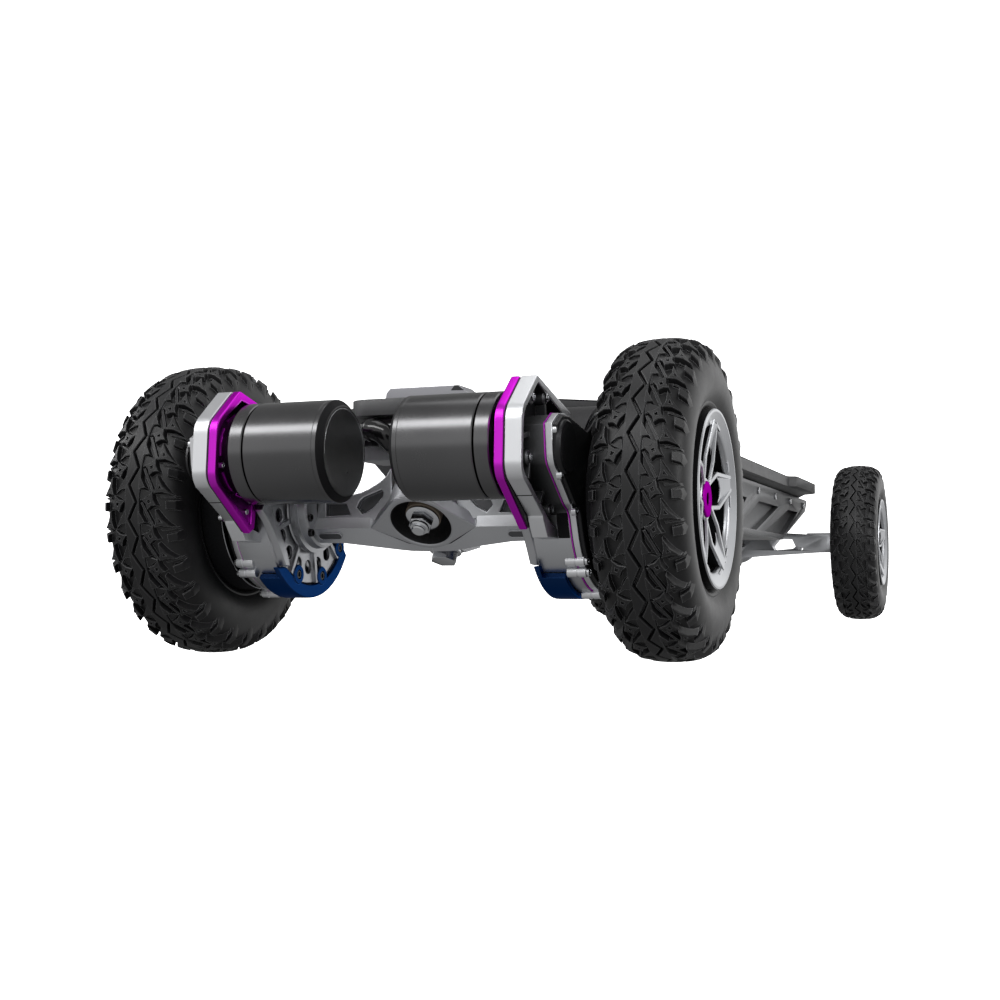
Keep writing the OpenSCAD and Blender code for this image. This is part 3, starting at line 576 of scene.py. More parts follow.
def tyre_mesh(name, axle_y, side):
    b = Builder()
    profile = [(-x, r) for x, r in reversed(CARCASS)] + CARCASS[1:]
    lathe(b, profile, 224)
    half = PITCH / 2
    # two centre ribs either side of the zigzag groove
    rib(b, [(0, -4.7, 2.7), (half / 2, -5.0, -0.2), (half, -5.2, -3.1), (half * 1.5, -4.9, -0.2)])
    rib(b, [(0, 4.9, 5.8), (half / 2, 2.2, 6.0), (half, -0.8, 6.3), (half * 1.5, 2.2, 6.0)])
    for k in range(REPEATS):
        knob(b, k, [(-4.0, 4.8), (-5.1, 5.7), (-8.1, 9.8), (-11.9, 16.9), (-8.1, 14.2), (-4.0, 13.6)], -0.03)
        knob(b, k, [(5.2, 5.2), (6.2, 6.6), (9.8, 13.3), (5.2, 14.0)], -0.03)
        # low bars that run from the ribs to the star knobs
        knob(b, k, [(6.4, 0.4), (7.9, 0.0), (15.4, 15.6), (14.0, 16.3)], 1.2)
        knob(b, k, [(-5.6, -8.0), (-8.6, -8.6), (-12.4, -4.6), (-5.0, -0.9)], 1.6)
        knob(b, k, [(5.4, -8.4), (8.4, -8.6), (14.2, -6.0), (7.8, -1.6), (5.6, -0.6)], 1.6)
        # star knobs
        for sx, corners in ((1, [(14.6, -6.3), (7.6, -1.7), (11.7, 5.0), (17.4, 2.3)]),
                            (-1, [(13.2, -4.7), (4.9, -1.1), (9.5, 6.3), (15.1, 4.0)])):
            knob(b, k, [(sx * x, v) for x, v in pinched(corners, 0.22)], 0.0, 0.3)
        # long triangular knobs
        for sx, corners in ((1, [(16.9, 4.9), (15.6, 16.9), (25.3, 17.3)]),
                            (-1, [(16.5, 5.2), (14.6, 17.2), (23.6, 17.4)])):
            knob(b, k, [(sx * x, v) for x, v in pinched(corners, 0.25)], 0.0, 0.27)
        # shoulder blocks, and the low steps between them
        block = [(22.4, -0.6), (26.9, -1.0), (27.4, 2.0), (26.9, 5.4), (22.6, 4.9)]
        step = [(18.0, -4.2), (26.4, -4.4), (26.6, -3.2), (18.6, -2.8)]
        for sx in (1, -1):
            knob(b, k, [(sx * x, v) for x, v in block], 0.2, 0.0, 0.6, 0.9, depth=6)
            knob(b, k, [(sx * x, v) for x, v in step], 2.6, depth=4)
    return b.mesh(name, (side * HALF_TRACK, axle_y, AXLE_Z))


for label, axle_y in AXLES:
    for word, side in SIDES:
        node = f"tyre_{label}_{word}"
        piece(node + "_tread", tyre_mesh(node, axle_y, side), BODY[node], "tyre", node, smooth=24)

# Drive unit, drawn for the right side as (y, z) from the rear axle line
MOTOR_AT = (-81.35, 29.45)
PLATE_EDGE = eased([(10, 45), (-41.6, 57), (-89.5, 69), (-116.5, 46.5), (-118.5, 10), (-80.4, -12.3),
                    (-79.6, -14.4), (-71.5, -24.6), (-52, -25.2)] + arc((0, 0), 57.2, 207.5, 398, 40),
                   {2: 3, 3: 16, 4: 12})
MAGENTA_EDGE = eased([(-41.6, 57), (-89.5, 69), (-116.5, 46.5), (-118.5, 10), (-76.5, -20), (-71, -17),
                      (-69, -4)] + arc((0, 0), 61.5, 176, 130, 10), {1: 3, 2: 16, 3: 12})
LOBE_EDGE = eased(arc((0, 0), 57, -156, 127, 48) + [(-43, 41.5), (-78, 47), (-90, 46), (-102, 39),
                                                  (-99.5, 17.5), (-68, -5), (-58, -9.5)],
                  {53: 10, 54: 14, 55: 9})
CASE_BOLTS = ((-41.5, -38), (-38, -44.6), (-8.5, -58), (20, -55))


def silver_plate(side, word):
    s = Shape("plate_silver", "cast_painted_shade", "dull_black_and_painted_shade", "bright_steel")
    pocket = eased([(-46, 52), (-88.3, 64.6), (-112.6, 44.6), (-114.4, 12.4), (-78.5, -8.6), (-66, -16)]
                   + arc((0, 0), 56, 200, 128, 14), {1: 3, 2: 13, 3: 9, 4: 5})
    s.plate(97, 107, PLATE_EDGE, [pocket], 0.7)
    # pocket floors and pocket walls in dull black: painted shade
    s.look = 2
    s.plate(97.6, 99.4, inset(PLATE_EDGE, 1.6), (), 0.2)
    s.plate(98.5, 106.2, inset(pocket, -0.3), [inset(pocket, 0.7)], 0.1)
    s.look = 1
    # walls across the pockets and round pads for the screws, in a dark copy of the cast: painted shade
    walls = (((-113.5, 30), (-99, 34)), ((-100, 8), (-97, 22)), ((-73, 60), (-70, 44)), ((-80, -6), (-74, 4)))
    for a, b in walls:
        a, b = Vector(a), Vector(b)
        along = b - a
        across = Vector((-along.y, along.x)).normalized() * 1.3
        s.plate(99, 105.6, [tuple(p) for p in (a + across, a - across, b - across, b + across)], (), 0.3)
    pads = ((-72, 57.5), (-101.5, 20), (-64, -8), (-96, 55))
    for at in pads:
        s.turned([(99, 0), (99, 4.8), (105, 4.3), (105.6, 3.7), (105.6, 0)], at, 32)
    # a dark seam mark, then a dull black band between the plate and the cover: painted shade
    s.look = 2
    s.plate(97.2, 106.8, [(-99.2, -1.32), (-98.4, -1.78), (-98, -1), (-98.8, -0.6)], (), 0.04)
    s.plate(107.2, 114.2, band((0, 0), 58.3, 50, 150, 205, 16), (), 0.3)
    s.look = 1
    # side wall of the gear lobe, in the dark copy of the cast: painted shade
    s.plate(98, 114.6, inset(LOBE_EDGE, 0.9), [inset(LOBE_EDGE, 4.6)], 0.5)
    s.look = 3
    for at in pads:
        s.screw(105.6, 1, at, 2.4, 1.8)
    s.done(f"drive_plate_{word}_body", "rear_truck", "plate_silver", f"drive_plate_{word}", side=side,
           place=REAR_AXLE)


def magenta_plate(side, word):
    s = Shape("magenta", "magenta_painted_shade", "cover_black")
    s.plate(90.5, 96, MAGENTA_EDGE, [inset(MAGENTA_EDGE, 4.6)], 1.0, 2)
    # recessed inner floor in the darker magenta: painted shade
    s.look = 1
    top = [(-84, 61.5), (-60, 55.5), (-66, 52.5), (-84, 56)]
    s.plate(93, 95.6, inset(MAGENTA_EDGE, 4.0), [circle(MOTOR_AT, 21.5, 64), top], 0.35)
    s.look = 0
    for start, end in ((148, 186), (208, 240), (108, 136), (252, 276)):
        s.plate(92.2, 93.4, band(MOTOR_AT, 27.4, 25.8, start, end, 10), (), 0.3)
    s.look = 2
    s.plate(96.05, 96.95, inset(MAGENTA_EDGE, 0.8), (), 0.1)
    s.done(f"motor_plate_{word}_body", "rear_truck", "magenta", f"motor_plate_{word}", side=side,
           place=REAR_AXLE)


def gear_case(side, word):
    s = Shape("cast_silver", "cast_painted_shade", "hub_black")
    s.turned([(114.6, 53), (114.6, 57.6), (91.2, 57.6), (90, 56.6), (90, 52.6), (92, 52.2), (95, 50),
              (95, 30.5), (90.6, 30), (89.6, 29.2), (89.6, 7), (97, 7)], steps=128)
    s.look = 2
    s.plate(95.2, 97, circle((0, 0), 55, 64), [circle((0, 0), 20)], 0.2)
    s.look = 0
    # ribbed face with a row of round holes
    holes = [circle(polar(40.5, a), 4.6, 24) for a in range(-170, 190, 20)]
    s.plate(90.6, 93, circle((0, 0), 51.5, 96), [circle((0, 0), 24, 48), *holes], 0.5)
    for a in range(-160, 200, 40):
        u = Vector(polar(1, a))
        w = Vector((-u.y, u.x)) * 1.5
        corners = [u * 29 + w, u * 29 - w, u * 52 - w, u * 52 + w]
        s.plate(88.4, 91, [tuple(c) for c in corners], (), 0.4)
    # crescent web from the motor plates down to the guard
    s.plate(84.6, 90.2, [(-72, -5), (-63, -12.5), (-54, -22.5), (-47, -31.5), (-41, -40), (-35, -40.5),
                         (-39, -31), (-47, -19), (-56, -8), (-66, 3)], (), 0.9)
    # split clamp of the hanger end
    s.turned([(78, 12), (78, 26), (79, 27.4), (84, 28.2), (84.6, 31), (87.6, 31.4), (88.6, 30.6), (88.6, 12)],
             steps=96)
    s.done(f"gear_case_{word}_body", "rear_truck", "cast_silver", f"gear_case_{word}", side=side,
           place=REAR_AXLE)


def gear_cover(side, word):
    s = Shape("cover_black", "magenta", "plate_silver")
    s.look = 1
    s.plate(114.65, 115.35, inset(LOBE_EDGE, -0.3), [inset(LOBE_EDGE, 3.6)], 0.1)
    s.look = 2
    s.plate(115.4, 119.6, LOBE_EDGE, [inset(LOBE_EDGE, 3.8)], 0.6)
    for at in CASE_BOLTS:
        s.turned([(108, 0), (108, 3), (108.5, 3.4), (114.2, 3.4), (114.2, 3.0), (115.8, 3.0), (115.8, 3.4),
                  (120.2, 3.4), (120.6, 3), (120.6, 0)], at, 28)
    s.look = 0
    s.plate(119.0, 122.4, inset(LOBE_EDGE, 1.4), [circle((0, 0), 31, 48)], 1.0, 3)
    s.turned([(121.6, 0), (123.4, 0), (123.9, 13.6), (124.0, 14.6), (123.4, 15.6), (121.6, 16.2)],
             (-84.5, 27), 64)
    s.turned([(121.6, 33), (123.4, 34), (124, 36), (124, 44), (122.8, 47), (121.6, 47.6)], steps=96)
    # round shroud over the top of the case
    s.plate(98.2, 121, band((0, 0), 60.3, 57.8, 10, 152, 30), (), 0.6)
    s.done(f"gear_cover_{word}_body", "rear_truck", "cover_black", f"gear_cover_{word}", side=side,
           place=REAR_AXLE)


def guard_and_screws():
    lugs = [polar(48.9, a) for a in (-111, -72, -33)]
    for word, side in SIDES:
        s = Shape("guard_blue", "cover_black")
        face = arc((0, 0), 61.6, -138, -31, 40) + [(45, -23), (40, -26)]
        face += arc((0, 0), 52.5, -40, -128, 30) + [(-36, -40.5)]
        s.plate(88.4, 92, face, (), 0.9)
        s.plate(90, 106.8, band((0, 0), 61.7, 58.2, -128.5, -33, 40), (), 1.1)
        for at in lugs:
            s.turned([(92, 0), (92, 6.6), (88.4, 6.6), (87.6, 5.9), (87.6, 3.4), (89, 3.2), (89, 0)], at, 36)
        s.done(f"gear_guard_{word}", "rear_truck", "guard_blue", *(["gear_guards"] if side > 0 else []),
               side=side, place=REAR_AXLE)
        s = Shape("bright_steel", "dark_steel")
        for at in ((-89.3, 57.5), (-106.3, 21), (-78.5, -6.5)):
            s.screw(93, -1, at, 1.9, 1.5)
        for at in ((-98, 35.5), (-89, 10.5), (-62, -9), (-76, 42), (-44, 36)):
            s.screw(119.4, 1, at, 2.7, 2.6)
        for at in CASE_BOLTS:
            s.screw(120.6, 1, at, 2.6, 1.8)
        s.look = 1
        for at in lugs:
            s.screw(89.4, -1, at, 2.9, 1.6)
        for y, z in ((-22, -8), (-20, -18)):
            s.screw(78.2, -1, (y, z), 2.6, 2.0)
        s.done(f"drive_screws_{word}", "rear_truck", "bright_steel", *(["drive_screws"] if side > 0 else []),
               side=side, place=REAR_AXLE)


def motor(side, word):
    s = Shape("motor_black", "motor_cap", "bright_steel", "dull_black_and_painted_shade")
    s.turned([(25.0, 31.7), (25.3, 31.8), (27.6, 31.8), (27.8, 31.6), (28.0, 31.8), (74.3, 31.8), (75, 31.2),
              (75, 27.8), (74, 27.4), (27, 27.4)], MOTOR_AT, 128)
    s.look = 1
    s.turned([(21.9, 0), (21.7, 14), (21.5, 24), (21.45, 27.4), (21.6, 28.0)], MOTOR_AT, 128)
    # the bevel ring round the cap in dull black
    s.look = 3
    s.turned([(21.6, 28.0), (22.2, 28.6), (24.0, 30.8), (25.02, 31.7)], MOTOR_AT, 128)
    s.look = 2
    s.plate(21.35, 21.75, band(MOTOR_AT, 26.3, 25.9, -12, 188, 80), (), 0.05)
    s.done(f"motor_can_{word}_body", f"rotor_{word}", "motor_black", f"motor_can_{word}", side=side,
           place=REAR_AXLE)
    s = Shape("motor_black", "motor_cap")
    s.turned([(76, 24), (76, 31.2), (76.6, 31.8), (84.7, 31.8), (85.5, 31.2), (85.5, 27)], MOTOR_AT, 128)
    s.look = 1
    s.turned([(74, 25), (76.4, 25), (76.4, 31)], MOTOR_AT, 96)
    s.turned([(84.5, 27.4), (86.2, 24), (87, 22), (95, 22)], MOTOR_AT, 96)
    s.done(f"motor_base_{word}_body", "rear_truck", "motor_black", f"motor_base_{word}", side=side,
           place=REAR_AXLE)


for word, side in SIDES:
    silver_plate(side, word)
    magenta_plate(side, word)
    gear_case(side, word)
    gear_cover(side, word)
    motor(side, word)
guard_and_screws()

# Hubs: a deep ring, five split spokes, a boss and a barrel behind, dull black as painted shade
SPOKES = 5
SPOKE_STEP = 360 // SPOKES
SPOKE_START = 15


def rib_bar(b, path, depth, top_w, base_w):
    """A raised rib along (y, z, top station) points, with drafted sides."""
    flat = [Vector((y, z)) for y, z, _ in path]
    rows = []
    for i, p in enumerate(flat):
        before = (p - flat[i - 1]).normalized() if i else (flat[1] - p).normalized()
        after = (flat[i + 1] - p).normalized() if i + 1 < len(flat) else before
        side = Vector((-(before + after).y, (before + after).x)).normalized()
        side /= max(0.5, side.dot(Vector((-before.y, before.x))))
        x = path[i][2]
        row = []
        for w, station in ((base_w, x - depth), (top_w, x - 0.4), (top_w - 0.8, x), (0.8 - top_w, x),
                           (-top_w, x - 0.4), (-base_w, x - depth)):
            q = p + side * w / 2
            row.append(b.add((station, q.x, q.y)))
        rows.append(row)
    for r0, r1 in zip(rows, rows[1:]):
        b.bridge(r0, r1)
    b.faces.append(tuple(rows[0]))
    b.faces.append(tuple(reversed(rows[-1])))


def hub(axle_y, side, node):
    s = Shape("hub", "hub_black", "dull_black_and_painted_shade")
    # the barrel in dull black: painted shade
    s.look = 2
    s.turned([(137, 51.5), (137, 46.2), (187.4, 45.6)], steps=128)
    s.look = 1
    s.turned([(185.4, 52), (185.4, 55.3), (192.2, 55.55)], steps=128)
    s.look = 0
    s.turned([(192.2, 55.55), (193, 55.0), (193.1, 53.6), (192.5, 52.4), (190.4, 47.6), (189.6, 45.9),
              (188.6, 45.2), (186.8, 45.0)], steps=128)
    # split spokes: two ribs on walls in painted shade, a web between them and two pads at the ring
    b, under = Builder(), Builder()
    for k in range(SPOKES):
        def spot(radius, degrees, *station, turn=math.radians(SPOKE_START + SPOKE_STEP * k)):
            a = turn + math.radians(degrees)
            return (radius * math.cos(a), radius * math.sin(a), *station)

        for sign in (-1, 1):
            path = [spot(11.5, sign * 40, 185.8), spot(27.5, sign * 23, 187.8), spot(48.5, sign * 4.6, 191.2)]
            rib_bar(b, path, 1.5, 2.7, 3.1)
            rib_bar(under, [(y, z, x - 1.3) for y, z, x in path], 16, 3.2, 3.6)
        s.look = 0
        s.plate(184.2, 185.2, [spot(29, -19), spot(47, -4.5), spot(47, 4.5), spot(29, 19), spot(32, 9),
                               spot(33, 0), spot(32, -9)], (), 0.3,
                warp=lambda x, y, z: (x + 0.28 * (math.hypot(y, z) - 26), y, z))
        for sign in (-1, 1):
            s.plate(188.8, 190.7, [spot(46.2, sign * 9), spot(48.6, sign * 9.6), spot(48.6, sign * 19),
                                   spot(46.2, sign * 18)], (), 0.25)
    s.look = 0
    s.built(b)
    # walls under the ribs in dull black: painted shade
    s.look = 2
    s.built(under)
    s.look = 0
    if axle_y == REAR_Y:
        s.turned([(125.6, 54.3), (125.2, 54.6), (125.2, 55.4), (125.5, 55.7)], steps=128)
        # band behind the rear ring in dull black: painted shade
        s.look = 2
        s.turned([(125.5, 55.65), (140, 56.2), (140, 54), (125.6, 54.35)], steps=128)
        s.look = 0
    s.turned([(185.2, 0), (185.2, 12.8), (184.6, 13.4), (183.4, 13.6)], steps=64)
    # back of the boss and the web with its windows in dull black: painted shade
    s.look = 2
    s.turned([(183.6, 13.5), (150, 17), (137, 18)], steps=64)
    first = SPOKE_START + SPOKE_STEP // 2
    windows = [circle(polar(31, a), 8, 28) for a in range(first, first + 360, SPOKE_STEP)]
    s.plate(160, 164, circle((0, 0), 46.5, 64), [circle((0, 0), 14, 32), *windows], 0.6)
    s.done(node + "_body", BODY[node], "hub", node, side=side, place=(0, axle_y, AXLE_Z))


for label, axle_y in AXLES:
    for word, side in SIDES:
        hub(axle_y, side, f"hub_{label}_{word}")
    s = Shape("magenta_cap")
    for side in (-1, 1):
        profile = [(180.6, 7), (180.6, 11.4), (185.7, 11.4), (186.3, 10.9), (186.6, 9.6), (186.5, 5),
                   (186.3, 4.2), (185.8, 4), (185.8, 0)]
        s.turned([(side * x, r) for x, r in profile], steps=64)
    s.done(f"{label}_axle_caps_body", BODY[f"{label}_axle_caps"], "magenta", f"{label}_axle_caps",
           place=(0, axle_y, AXLE_Z))

# Truck pieces: a kingpin frame whose first station runs up the kingpin, then x, then across it
LEAN = math.radians(40)
KINGPIN_AT = (-11.3, -8.3)


def on_kingpin(t, u, w):
    return (u, KINGPIN_AT[0] + t * math.sin(LEAN) - w * math.cos(LEAN),
            KINGPIN_AT[1] + t * math.cos(LEAN) + w * math.sin(LEAN))


def both(points):
    """A right-hand outline of (x, z) points and its mirror image."""
    return points, [(-x, z) for x, z in points]


def ring_and_boss(s):
    """Ring about the kingpin with a bowl below in painted shade and a flat face drawn out to the arms."""
    s.turned([(-5.5, 20.7), (-5.5, 24.0), (-4.6, 24.8), (18.4, 24.8), (19.5, 23.8), (19.5, 18.9),
              (18.8, 18.2), (17.2, 17.6), (17.0, 13.6)], steps=96, warp=on_kingpin)
    face = arc((0, 0), 24.5, -56, -124, 16) + [(-38, -4)] + arc((0, 0), 24.5, 136, 44, 20) + [(38, -4)]
    s.plate(-5.9, 3.5, face, [circle((0, 0), 20.9, 72)], 0.9, 3, warp=on_kingpin)
    # the bowl in the dark copy of the cast: painted shade
    s.look = 1
    s.turned([(-5.2, 20.8), (-2, 20.3), (4, 19.2), (9, 17), (12.4, 14.2), (14.0, 12.6), (14.2, 7.2)],
             steps=96, warp=on_kingpin)
    s.look = 0


def beam(s, sections, band_look):
    """Lofts through sections of (x, [six (y, z) points]), right and left.

    From the third section on, side 1 of the body is left open and a strip in band_look fills it.
    """
    for sign in (1, -1):
        body, strip = Builder(), Builder()
        rows = [body.ring([(sign * x, y, z) for y, z in points]) for x, points in sections]
        for r0, r1 in zip(rows, rows[1:]):
            body.bridge(r0, r1)
        body.faces = [f for i, f in enumerate(body.faces) if i % 6 != 1 or i < 12]
        body.faces += [tuple(rows[0]), tuple(reversed(rows[-1]))]
        s.built(body)
        lines = [strip.ring([(sign * x, *points[1]), (sign * x, *points[2])]) for x, points in sections[2:]]
        for r0, r1 in zip(lines, lines[1:]):
            strip.bridge(r0, r1, False)
        s.look, kept = band_look, s.look
        s.built(strip)
        s.look = kept


def rear_hanger():
    s = Shape("cast_silver", "cast_painted_shade", "dull_black_and_painted_shade", "band_painted_light")
    ring_and_boss(s)
    # arms: a band above a crease in a lighter silver, painted light, and a face below it in painted shade
    beam(s, [(0, [(6, -30.6), (3.6, -28.0), (6, -26), (10, -24), (12, -25), (12, -29)]),
             (15, [(4.5, -30.2), (0.4, -25.5), (3, -22), (8, -18), (11, -19), (11, -28.4)]),
             (24, [(1.5, -29.2), (-4.2, -21.6), (1, -14), (4, -10), (8, -12), (8, -27)]),
             (38, [(-4, -27.4), (-12.2, -15.2), (-10.9, -8.2), (-5, -7.2), (5, -8), (5, -25.6)]),
             (60, [(-6.4, -24.8), (-14.6, -15.2), (-11.1, -8.0), (-5.4, -7.0), (5, -8), (5, -23.4)]),
             (84, [(-7.4, -24.2), (-15.8, -15.4), (-11.6, -8.2), (-5.8, -7.2), (5, -8), (5, -23)])], 3)
    edge = [(23, -12), (38, -10), (84, -12), (84, 7), (72, 5.6), (57, 7), (52, 7.6), (46, 8.8), (40.4, 11),
            (34, 14.4), (30, 17), (27, 19.6), (24, 24), (23, 24.5)]
    outer = [(71.5, 1.7), (56.5, 1.6), (53.4, -5.9), (71.5, -6.6)]
    inner = [(48.6, -1.2), (46.5, 3.0), (43.5, 5.4), (38, 7.4), (30.4, 10.2), (29.2, 8.6), (29.6, 5.8),
             (37, -1.8), (44.5, -5.6)]
    for outline, hole_a, hole_b in zip(both(edge), both(outer), both(inner)):
        s.plate(-10.9, 2, outline, [hole_a, hole_b], 0.9, 3, axis="y")
    # the face below the crease in the dark copy of the cast: painted shade
    s.look = 1
    for panel in both([(26, -10), (74, -10), (74, 3.5), (52, 5), (44, 7), (30, 13)]):
        s.plate(-6.6, 1.4, panel, (), 0.2, axis="y")
    s.look = 0
    # rounded slot in the lower face of each arm, its floor in painted shade
    down = Vector((0.67, -0.74))
    out = Vector((-0.74, -0.67))
    middle = Vector((-10.9, -20.0))

    def on_face(t, u, w):
        p = middle + out * t - down * w
        return (u, p.x, p.y)

    for sign in (-1, 1):
        ends = [sign * 62, sign * 74]

        def slot(r):
            low, high = min(ends), max(ends)
            return arc((high, 0), r, -90, 90, 12) + arc((low, 0), r, 90, 270, 12)

        s.look = 0
        s.plate(-0.6, 0.75, slot(3.1), [slot(2.3)], 0.25, warp=on_face)
        s.look = 1
        s.plate(-0.6, 0.5, slot(2.4), (), 0.1, warp=on_face)
    s.done("rear_hanger_body", "rear_truck", "cast_silver", "rear_hanger", place=REAR_AXLE)


def kingpin(node, body, axle_y, ahead):
    s = Shape("bright_steel", "dark_steel")
    s.turned([(-0.1, 5), (-0.1, 10.6), (-0.9, 11.3), (-1.5, 11.2), (-2.3, 9.2), (-2.3, 5)], steps=64,
             warp=on_kingpin)
    s.plate(-8.4, -2.4, circle((0, 0), 8.2, 6), (), 0.9, 3, warp=on_kingpin)
    s.turned([(-8.2, 6.6), (-9.8, 6.4), (-10.6, 5.6), (-10.6, 4.6), (-12.2, 4.6), (-12.9, 3.8), (-12.9, 0)],
             steps=48, warp=on_kingpin)
    s.plate(43.05, 49, circle((0, 0), 9.2, 6), (), 0.9, 3, warp=on_kingpin)
    s.turned([(-3, 0), (-3, 5), (43.5, 5), (43.5, 0)], steps=32, warp=on_kingpin)
    s.done(node + "_body", body, "bright_steel", node, ahead=ahead, place=(0, axle_y, AXLE_Z))


rear_hanger()
kingpin("rear_kingpin", BODY["rear_kingpin"], REAR_Y, 1)
kingpin("front_kingpin", BODY["front_kingpin"], FRONT_Y, -1)


def tube(b, path, radii, steps=28):
    """A round body swept along points in one plane or nearly so."""
    rows = []
    across = None
    for i, (p, r) in enumerate(zip(path, radii)):
        before, after = Vector(path[max(0, i - 1)]), Vector(path[min(len(path) - 1, i + 1)])
        along = (after - before).normalized()
        across = along.orthogonal() if across is None else (across - along * across.dot(along))
        across.normalize()
        up = along.cross(across)
        rows.append(b.ring([tuple(Vector(p) + (across * math.cos(a) + up * math.sin(a)) * r)
                            for a in [2 * math.pi * k / steps for k in range(steps)]]))
    for r0, r1 in zip(rows, rows[1:]):
        b.bridge(r0, r1)
    b.faces.append(tuple(rows[0]))
    b.faces.append(tuple(reversed(rows[-1])))


def elbows():
    """Two glossy boots at the rear edge of the base, where the motor leads enter the board."""
    s = Shape("gland")
    path = [(46, -3, 50.5), (41, -9, 50.2), (37.4, -12.4, 50), (37.2, -12.6, 50), (35.4, -13.6, 49.8),
            (35.2, -13.8, 49.8), (31, -15.4, 49), (27, -15.6, 47), (24.4, -14.2, 43.8), (23.4, -11, 40.8),
            (23.4, -6, 39.4), (23.4, 2, 39)]
    radii = [6.6, 6.8, 6.8, 7.8, 7.8, 6.9, 7.1, 7.2, 7.0, 6.6, 6.2, 6.0]
    for side in (-1, 1):
        b = Builder()
        tube(b, [(side * x, y, z) for x, y, z in path], radii)
        s.built(b)
    s.done("cable_boots", "board", "gland", "cable_glands", place=REAR_AXLE, smooth=40)


def tail_bar():
    low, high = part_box("tail_plate")
    x0, x1, z0, z1 = low[0] / MM, high[0] / MM, low[2] / MM, high[2] / MM
    y0, y1 = low[1] / MM, high[1] / MM
    block = [(x0, z0), (x1, z0), (x1 - 0.6, z0 + 2.6), (x1 - 6, z1), (x0 + 3.5, z1), (x0 + 0.6, z0 + 4)]
    inlay = [(x1 - 11.5, z0 + 3.6), (x1 - 2, z0 + 3.4), (x1 - 6.6, z1 - 0.1), (x1 - 9, z1 - 0.1)]
    s = Shape("tail_metal", "button")
    s.plate(y0, y1, block, (), 0.5, axis="y")
    s.look = 1
    s.plate(y0 - 0.35, y0 + 2, inlay, (), 0.2, axis="y")
    s.done("tail_plate_body", "board", "tail_metal", "tail_plate")


elbows()
tail_bar()

REPLACED = ("tyre_", "hub_", "drive_plate", "motor_plate", "gear_case", "gear_cover", "gear_guards",
            "drive_screws", "motor_can", "motor_base", "rear_axle_caps", "front_axle_caps", "rear_hanger",
            "rear_kingpin", "front_kingpin", "cable_glands", "tail_plate")
CARRIED = [n for n in NODES if n.startswith(("battery_cells", "motor_controller", "rear_wheel_bearings",
                                             "front_wheel_bearings", "idler_gear", "pinion", "drive_gear"))]
for n in NODES:
    if n not in CARRIED and not n.startswith(REPLACED):
        rounded(n, 0.25 if n == "frame_screws" else 0.5)
for n in CARRIED:
    data = NODES[n].data
    data.materials.clear()
    data.materials.append(MATERIALS[SLOT[n]])

# -------------------------------------------------------------------- stage


def area(name, place, target, size, power):
    data = bpy.data.lights.new(name, "AREA")
    data.shape = "RECTANGLE"
    data.size, data.size_y = size
    data.energy = power
    light = bpy.data.objects.new(name, data)
    light.location = place
    light.rotation_mode = "QUATERNION"
    light.rotation_quaternion = (Vector(target) - Vector(place)).to_track_quat("-Z", "Y")
    bpy.context.scene.collection.objects.link(light)


BACKDROP = 2.2


def pale_floor():
    mesh = bpy.data.meshes.new("floor")
    mesh.from_pydata([(-30, -30, 0), (30, -30, 0), (30, 30, 0), (-30, 30, 0)], [], [(0, 1, 2, 3)])
    floor = bpy.data.objects.new("floor", mesh)
    bpy.context.scene.collection.objects.link(floor)
    look = Nodes("floor_look")
    greys = [(0.3, (0.86, 0.86, 0.86)), (0.7, (0.9, 0.9, 0.9))]
    look.set("Base Color", look.ramp(look.noise(0.8), greys))
    look.set("Roughness", 0.7)
    look.set("Emission Color", (1.0, 1.0, 1.0))
    look.set("Emission Strength", BACKDROP * 0.75)
    mesh.materials.append(look.mat)
    floor.visible_glossy = False
    floor.visible_diffuse = False


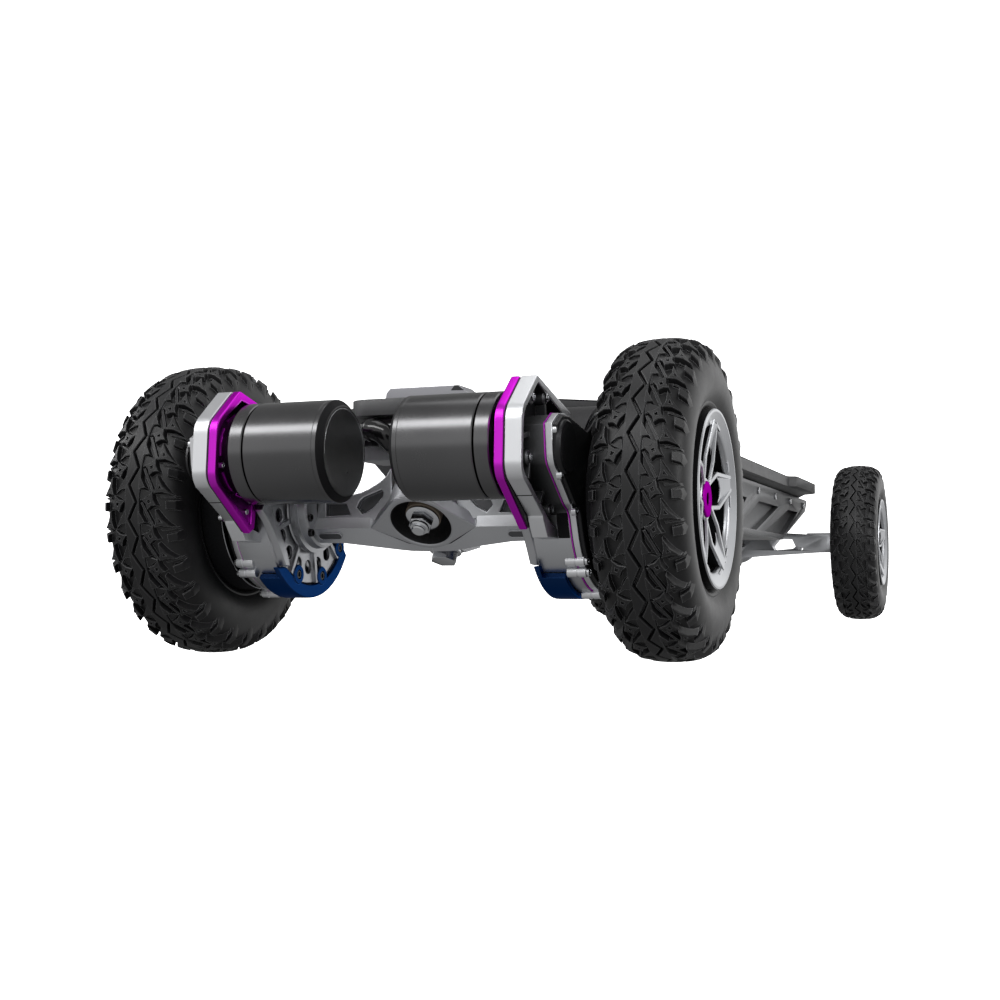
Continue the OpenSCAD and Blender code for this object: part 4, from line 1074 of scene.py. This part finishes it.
def studio_world():
    world = bpy.data.worlds.new("studio")
    bpy.context.scene.world = world
    world.use_nodes = True
    tree = world.node_tree
    seen = tree.nodes["Background"]
    seen.inputs["Color"].default_value = (1, 1, 1, 1)
    seen.inputs["Strength"].default_value = BACKDROP
    # Lighting only: bright above and behind the camera, dim below and ahead
    room = tree.nodes.new("ShaderNodeBackground")
    coord = tree.nodes.new("ShaderNodeTexCoord")
    split = tree.nodes.new("ShaderNodeSeparateXYZ")
    height = tree.nodes.new("ShaderNodeMapRange")
    height.inputs["From Min"].default_value = -1
    ramp = tree.nodes.new("ShaderNodeValToRGB")
    levels = ((0, 0.34), (0.46, 0.36), (0.53, 0.75), (0.68, 0.7), (1, 0.42))
    while len(ramp.color_ramp.elements) < len(levels):
        ramp.color_ramp.elements.new(0.5)
    for element, (place, level) in zip(ramp.color_ramp.elements, levels):
        element.position = place
        element.color = (level, level, level, 1)
    behind = tree.nodes.new("ShaderNodeMapRange")
    behind.inputs["From Min"].default_value = 1
    behind.inputs["From Max"].default_value = -1
    behind.inputs["To Min"].default_value = 0.3
    behind.inputs["To Max"].default_value = 1.35
    # A bright wall ahead on the right, which the flanks show at a low angle
    wall = tree.nodes.new("ShaderNodeVectorMath")
    wall.operation = "DOT_PRODUCT"
    wall.inputs[1].default_value = (0.36, 0.93, 0.0)
    glow = tree.nodes.new("ShaderNodeMapRange")
    glow.inputs["From Min"].default_value = 0.7
    glow.inputs["From Max"].default_value = 0.97
    glow.inputs["To Max"].default_value = 1.5
    total = tree.nodes.new("ShaderNodeMath")
    path = tree.nodes.new("ShaderNodeLightPath")
    blend = tree.nodes.new("ShaderNodeMixShader")
    for source, target in (
        (coord.outputs["Generated"], split.inputs[0]),
        (split.outputs["Z"], height.inputs["Value"]),
        (height.outputs["Result"], ramp.inputs["Fac"]),
        (split.outputs["Y"], behind.inputs["Value"]),
        (ramp.outputs["Color"], room.inputs["Color"]),
        (coord.outputs["Generated"], wall.inputs[0]),
        (wall.outputs["Value"], glow.inputs["Value"]),
        (behind.outputs["Result"], total.inputs[0]),
        (glow.outputs["Result"], total.inputs[1]),
        (total.outputs[0], room.inputs["Strength"]),
        (path.outputs["Is Camera Ray"], blend.inputs["Fac"]),
        (room.outputs[0], blend.inputs[1]),
        (seen.outputs[0], blend.inputs[2]),
        (blend.outputs[0], tree.nodes["World Output"].inputs["Surface"]),
    ):
        tree.links.new(source, target)


pale_floor()
studio_world()
bpy.context.scene.view_settings.view_transform = "Standard"

area("key", (-0.55, -2.1, 1.75), (-0.1, -0.55, 0.12), (3.0, 0.6), 36)
area("top", (0.3, 0.2, 2.2), (0, 0, 0.1), (1.4, 2.4), 14)
area("right", (2.6, -0.4, 0.9), (0.1, -0.3, 0.1), (0.8, 1.0), 16)
area("left", (-2.4, -0.6, 1.3), (0, -0.3, 0.1), (0.8, 1.2), 20)

camera_data = bpy.data.cameras.new("camera")
camera_data.lens = 50
camera_data.sensor_width = 36
camera = bpy.data.objects.new("camera", camera_data)
camera.location = (0.37036, -1.34025, 0.050)
camera.rotation_euler = (math.radians(93.33), 0, math.radians(20.88))
bpy.context.scene.collection.objects.link(camera)
bpy.context.scene.camera = camera
